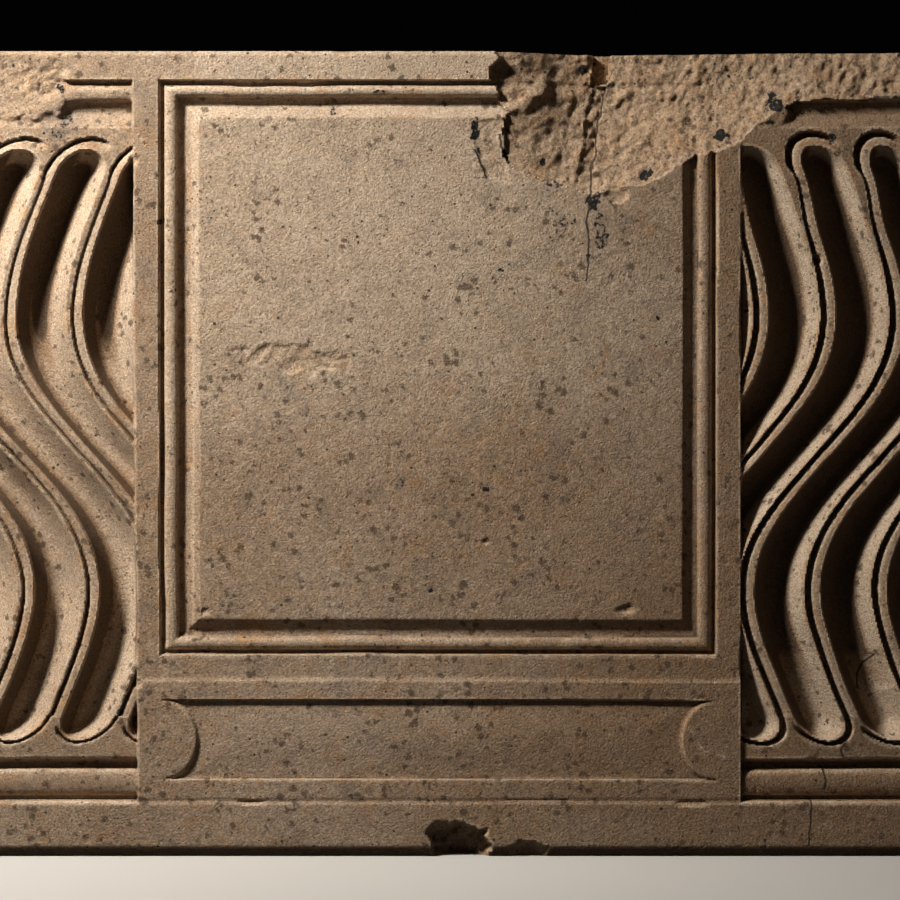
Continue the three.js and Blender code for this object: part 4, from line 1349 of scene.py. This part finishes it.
class Recipe:
    """A material's nodes, made one call at a time."""

    def __init__(self, name):
        self.material = bpy.data.materials.new(name)
        self.material.use_nodes = True
        self.tree = self.material.node_tree
        self.shader = self.tree.nodes["Principled BSDF"]
        self.place = self.tree.nodes.new("ShaderNodeTexCoord").outputs["Object"]

    def link(self, value, socket):
        if isinstance(value, bpy.types.NodeSocket):
            self.tree.links.new(value, socket)
        elif hasattr(value, "__len__"):
            socket.default_value = (*value, 1.0)
        else:
            socket.default_value = value

    def node(self, kind, **inputs):
        """A new node, with its inputs linked or set."""
        made = self.tree.nodes.new("ShaderNode" + kind)
        for name, value in inputs.items():
            self.link(value, made.inputs[name.replace("_", " ")])
        return made

    def noise(self, name):
        """One of the noises, from 0 to 1."""
        size, detail, roughness, distortion = NOISES[name]
        inputs = {"Scale": 1 / (size * MM), "Detail": detail}
        inputs.update({"Roughness": roughness, "Distortion": distortion})
        return self.node("TexNoise", Vector=self.place, **inputs).outputs["Fac"]

    def spots(self, name):
        """The distance to the nearest of scattered points."""
        return self.node("TexVoronoi", Vector=self.place, Scale=1 / (SPACINGS[name] * MM)).outputs["Distance"]

    def ranged(self, value, low, high, start, end):
        """value from low to high, turned into start to end and held beyond."""
        made = self.node("MapRange", Value=value, From_Min=low, From_Max=high, To_Min=start, To_Max=end)
        return made.outputs["Result"]

    def band(self, name, value=None):
        """A value, or the noise of the same name, turned into a share by one of the bands."""
        return self.ranged(self.noise(name) if value is None else value, *BANDS[name])

    def math(self, operation, first, second):
        made = self.tree.nodes.new("ShaderNodeMath")
        made.operation = operation
        self.link(first, made.inputs[0])
        self.link(second, made.inputs[1])
        return made.outputs[0]

    def times(self, first, second):
        return self.math("MULTIPLY", first, second)

    def mix(self, share, first, second, kind="MIX"):
        made = self.tree.nodes.new("ShaderNodeMix")
        made.data_type = "RGBA"
        made.blend_type = kind
        self.link(share, made.inputs["Factor"])
        for name, value in (("A", first), ("B", second)):
            socket = [s for s in made.inputs if s.name == name and s.type == "RGBA"][0]
            self.link(value, socket)
        return [s for s in made.outputs if s.type == "RGBA"][0]

    def grey(self, value):
        """A value as a grey colour."""
        return self.node("CombineColor", Red=value, Green=value, Blue=value).outputs["Color"]

    def stored(self, name):
        """A value kept on the mesh's points."""
        made = self.tree.nodes.new("ShaderNodeAttribute")
        made.attribute_name = name
        return made.outputs["Fac"]

    def bump(self, reliefs, strength):
        """Bumps of several heights, each with its own depth in millimetres."""
        normal = None
        for height, depth in reliefs:
            made = self.node("Bump", Strength=strength, Distance=depth * MM, Height=height)
            if normal is not None:
                self.link(normal, made.inputs["Normal"])
            normal = made.outputs["Normal"]
        self.link(normal, self.shader.inputs["Normal"])

    def finish(self, colour, roughness, specular, metallic=0.0):
        self.link(colour, self.shader.inputs["Base Color"])
        self.link(roughness, self.shader.inputs["Roughness"])
        self.shader.inputs["Metallic"].default_value = metallic
        self.shader.inputs["Specular IOR Level"].default_value = specular
        return self.material


def weathered_and_shaded(recipe, colour, noise):
    """The marble's colour, changed by the grime, weathering, breaks, painted light and painted shade kept on
    the front's points.
    """
    paleness = recipe.stored("patina_and_shade")
    uneven = recipe.band("uneven", noise["blotches"])
    # Pale is partly bare stone and partly painted light; brown is partly weathering and partly painted shade.
    colour = recipe.mix(recipe.times(recipe.band("pale", paleness), uneven), colour, PALE)
    colour = recipe.mix(recipe.times(recipe.band("brown", paleness), uneven), colour, PATINA_AND_SHADE)
    # Painted shade: where the value reaches -1, on the channels' left walls and bottoms and on the foot's
    # bevel, the stone turns umber.
    colour = recipe.mix(recipe.band("umber", paleness), colour, UMBER)
    soil_and_shade = recipe.stored("soil_and_shade")
    # In the cuts the umber is partly grime and partly painted shade; on the arrises the pale is partly wear
    # and partly painted highlight.
    for kind, broken_by, source, tint in (
        ("soil_and_shade", "crumbly soil", "mottle", UMBER),
        ("arris", "worn arris", "blotches", PALE),
        ("warm", "warm streaks", "streaks", ORANGE),
    ):
        share = recipe.times(recipe.band(kind, soil_and_shade), recipe.band(broken_by, noise[source]))
        colour = recipe.mix(share, colour, tint)
    broken = recipe.mix(recipe.band("broken tan", noise["scales"]), BROKEN, TAN)
    broken = recipe.mix(recipe.band("broken orange", noise["streaks"]), broken, ORANGE)
    broken = recipe.mix(recipe.band("broken umber", noise["scales"]), broken, UMBER)
    return recipe.mix(recipe.band("broken", recipe.stored("rough")), colour, broken)


def overgrown(recipe, colour):
    """The colour with the cracks and the black lichen kept on the front's points."""
    crack = recipe.math("ABSOLUTE", recipe.stored("crack"), 0.0)
    colour = recipe.mix(recipe.band("crack", crack), colour, LICHEN)
    grown = recipe.stored("lichen")
    colour = recipe.mix(recipe.band("lichen stain", grown), colour, GREY)
    dotted = recipe.math("ADD", grown, recipe.band("lichen dots", recipe.noise("dots")))
    return recipe.mix(recipe.band("lichen", dotted), colour, LICHEN)


def marble(name, carved):
    """Weathered cream marble. carved adds what is kept on the front's points."""
    recipe = Recipe(name)
    kinds = ("clouds", "blotches", "streaks", "mottle", "grain", "scales")
    noise = {kind: recipe.noise(kind) for kind in kinds}
    colour = CREAM
    for kind, low, high, share, tint in LAYERS:
        colour = recipe.mix(recipe.ranged(noise[kind], low, high, 0.0, share), colour, tint)
    reliefs = [(noise["mottle"], MOTTLE_RELIEF), (noise["grain"], GRAIN_RELIEF)]
    if carved:
        colour = weathered_and_shaded(recipe, colour, noise)
        reliefs.append((recipe.times(recipe.stored("rough"), noise["scales"]), SCALE_RELIEF))
    # Light and dark grains, of the marble and of what has settled in its pores
    colour = recipe.mix(1.0, colour, recipe.grey(recipe.band("grains", noise["grain"])), "OVERLAY")
    if carved:
        colour = overgrown(recipe, colour)
    # Dark specks and clusters where the crowds are dense, with soft smudges and pits everywhere
    crowds = recipe.noise("crowds")
    few = recipe.times(recipe.band("speck sizes"), recipe.band("crowded", crowds))
    smudges = recipe.math("ADD", recipe.spots("smudges"), recipe.band("smudge edges"))
    for kind, size, away, tint in (
        ("speck", few, recipe.spots("specks"), UMBER),
        ("smudge", recipe.band("smudge sizes"), smudges, UMBER),
        ("pit", recipe.band("pit sizes"), recipe.spots("pits"), LICHEN),
    ):
        colour = recipe.mix(recipe.band(kind, recipe.math("SUBTRACT", size, away)), colour, tint)
    cluster = recipe.times(recipe.band("patches"), recipe.band("very crowded", crowds))
    colour = recipe.mix(cluster, colour, LICHEN)
    reliefs.append((recipe.band("pores", recipe.spots("pores")), PORE_RELIEF))
    recipe.bump(reliefs, STONE_BUMP_SHARE)
    return recipe.finish(colour, recipe.band("stone roughness", noise["mottle"]), STONE_SPECULAR)


def rusty_iron():
    recipe = Recipe("rusted_iron")
    patches, fine = recipe.noise("rust"), recipe.noise("fine rust")
    colour = recipe.mix(recipe.band("rust", patches), IRON_BROWN, IRON_RED)
    colour = recipe.mix(recipe.band("iron scale", fine), colour, IRON_SCALE)
    recipe.bump(zip((fine, patches), RUST_RELIEFS), METAL_BUMP_SHARE)
    return recipe.finish(colour, recipe.band("iron roughness", fine), METAL_SPECULAR, IRON_METAL_SHARE)


def dull_lead():
    recipe = Recipe("dull_lead")
    patches, fine = recipe.noise("dull"), recipe.noise("fine dull")
    colour = recipe.mix(recipe.band("lead", patches), LEAD_DARK, LEAD_BRIGHT)
    recipe.bump(zip((patches, fine), LEAD_RELIEFS), METAL_BUMP_SHARE)
    return recipe.finish(colour, recipe.band("lead roughness", patches), METAL_SPECULAR, LEAD_METAL_SHARE)


def plain_floor():
    """A pale floor, which throws less light back onto the object than it shows."""
    recipe = Recipe("plain_floor")
    colour = recipe.mix(recipe.band("floor"), *FLOOR_TONES)
    path = recipe.tree.nodes.new("ShaderNodeLightPath")
    shown = recipe.math("MAXIMUM", path.outputs["Is Camera Ray"], path.outputs["Is Glossy Ray"])
    colour = recipe.mix(shown, FLOOR_THROWN, colour)
    return recipe.finish(colour, FLOOR_ROUGHNESS, FLOOR_SPECULAR)


# Stage: lengths here are in metres, power is in watts, and openings are in degrees

WARM = (1.0, 0.94, 0.855)
COOL = (1.0, 0.97, 0.93)
ALL_ROUND = 180.0
KEY_PLACE = (-0.8, -0.84, 1.2)
# Lamps: name, place, aim, width, power, colour and opening
LAMPS = [
    # A key from the upper left, and a cone from the same place that leaves the lower right darker
    ("key", KEY_PLACE, (0.0, -0.3, 0.3), 0.25, 20.8, WARM, ALL_ROUND),
    ("cone", KEY_PLACE, (-0.6, -0.3, 0.65), 0.25, 2.4, WARM, 72.0),
    ("fill", (1.6, -4.4, 1.8), (0.0, 0.0, 0.3), 3.0, 0.2, COOL, ALL_ROUND),
    # Lamps for the back and the left end, which the front doesn't see
    ("behind", (2.2, 3.4, 2.6), (0.0, 0.0, 0.4), 2.0, 110.0, COOL, ALL_ROUND),
    ("left", (-3.4, 0.9, 1.4), (-1.0, 0.0, 0.3), 1.6, 30.0, COOL, ALL_ROUND),
]
WORLD_COLOUR = (1.0, 0.985, 0.96, 1.0)
WORLD_STRENGTH = 0.004
BACKDROP = (0.0006, 0.0006, 0.0006, 1.0)
CLIP_END = 200.0
# The floor's reach to each side, in millimetres
FLOOR_REACH = 30000.0


def put(made, material, body, slot, *nodes):
    """Dresses a piece, seats it on its body and hides the CAD nodes that it stands for."""
    made.data.materials.clear()
    made.data.materials.append(material)
    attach(made, body)
    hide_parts(*nodes)


def make_floor():
    corners = [(x * FLOOR_REACH, y * FLOOR_REACH, 0.0) for x, y in ((-1, -1), (1, -1), (1, 1), (-1, 1))]
    floor = mesh_object("floor", corners, [[(0, 1, 2, 3)]])
    floor.data.materials.append(plain_floor())


def make_lamp(name, place, aim, width, power, colour, opening):
    """A round lamp that shines from its place towards its aim."""
    data = bpy.data.lights.new(name, "AREA")
    data.shape = "DISK"
    data.size = width
    data.energy = power
    data.color = colour
    data.spread = math.radians(opening)
    lamp = bpy.data.objects.new(name, data)
    bpy.context.scene.collection.objects.link(lamp)
    lamp.location = place
    lamp.rotation_mode = "QUATERNION"
    lamp.rotation_quaternion = (Vector(place) - Vector(aim)).to_track_quat("Z", "Y")


def make_world():
    """A faint even light, seen as black by the camera."""
    world = bpy.data.worlds.new("studio")
    bpy.context.scene.world = world
    world.use_nodes = True
    tree = world.node_tree
    light = tree.nodes["Background"]
    light.inputs["Color"].default_value = WORLD_COLOUR
    light.inputs["Strength"].default_value = WORLD_STRENGTH
    seen = tree.nodes.new("ShaderNodeBackground")
    seen.inputs["Color"].default_value = BACKDROP
    path = tree.nodes.new("ShaderNodeLightPath")
    pick = tree.nodes.new("ShaderNodeMixShader")
    tree.links.new(path.outputs["Is Camera Ray"], pick.inputs[0])
    tree.links.new(light.outputs[0], pick.inputs[1])
    tree.links.new(seen.outputs[0], pick.inputs[2])
    tree.links.new(pick.outputs[0], tree.nodes["World Output"].inputs["Surface"])


def make_camera():
    data = bpy.data.cameras.new("camera")
    data.sensor_width = SENSOR
    data.lens = SENSOR * CAMERA_AWAY / PICTURE_WIDTH
    data.clip_end = CLIP_END
    camera = bpy.data.objects.new("camera", data)
    bpy.context.scene.collection.objects.link(camera)
    camera.location = (CAMERA_X * MM, (FRONT - CAMERA_AWAY) * MM, CAMERA_Z * MM)
    camera.rotation_euler = (math.pi / 2, 0.0, 0.0)
    bpy.context.scene.camera = camera


make_camera()
front_marble = marble("carved_marble", True)
lid_marble = marble("tooled_marble", False)
iron = rusty_iron()
lead = dull_lead()
put(make_chest(), front_marble, "chest", "marble", "chest")
put(make_lid(), lid_marble, "lid", "lid_marble", "lid")
for where in CRAMPS:
    put(make_cramp(where), iron, "cramp_" + where, "iron", "cramp_" + where)
    put(make_lead("rim_lead", where), lead, "chest", "lead", "rim_lead_" + where)
    put(make_lead("lid_lead", where), lead, "lid", "lead", "lid_lead_" + where)
make_floor()
for lamp in LAMPS:
    make_lamp(*lamp)
make_world()
bpy.context.scene.view_settings.view_transform = "Standard"
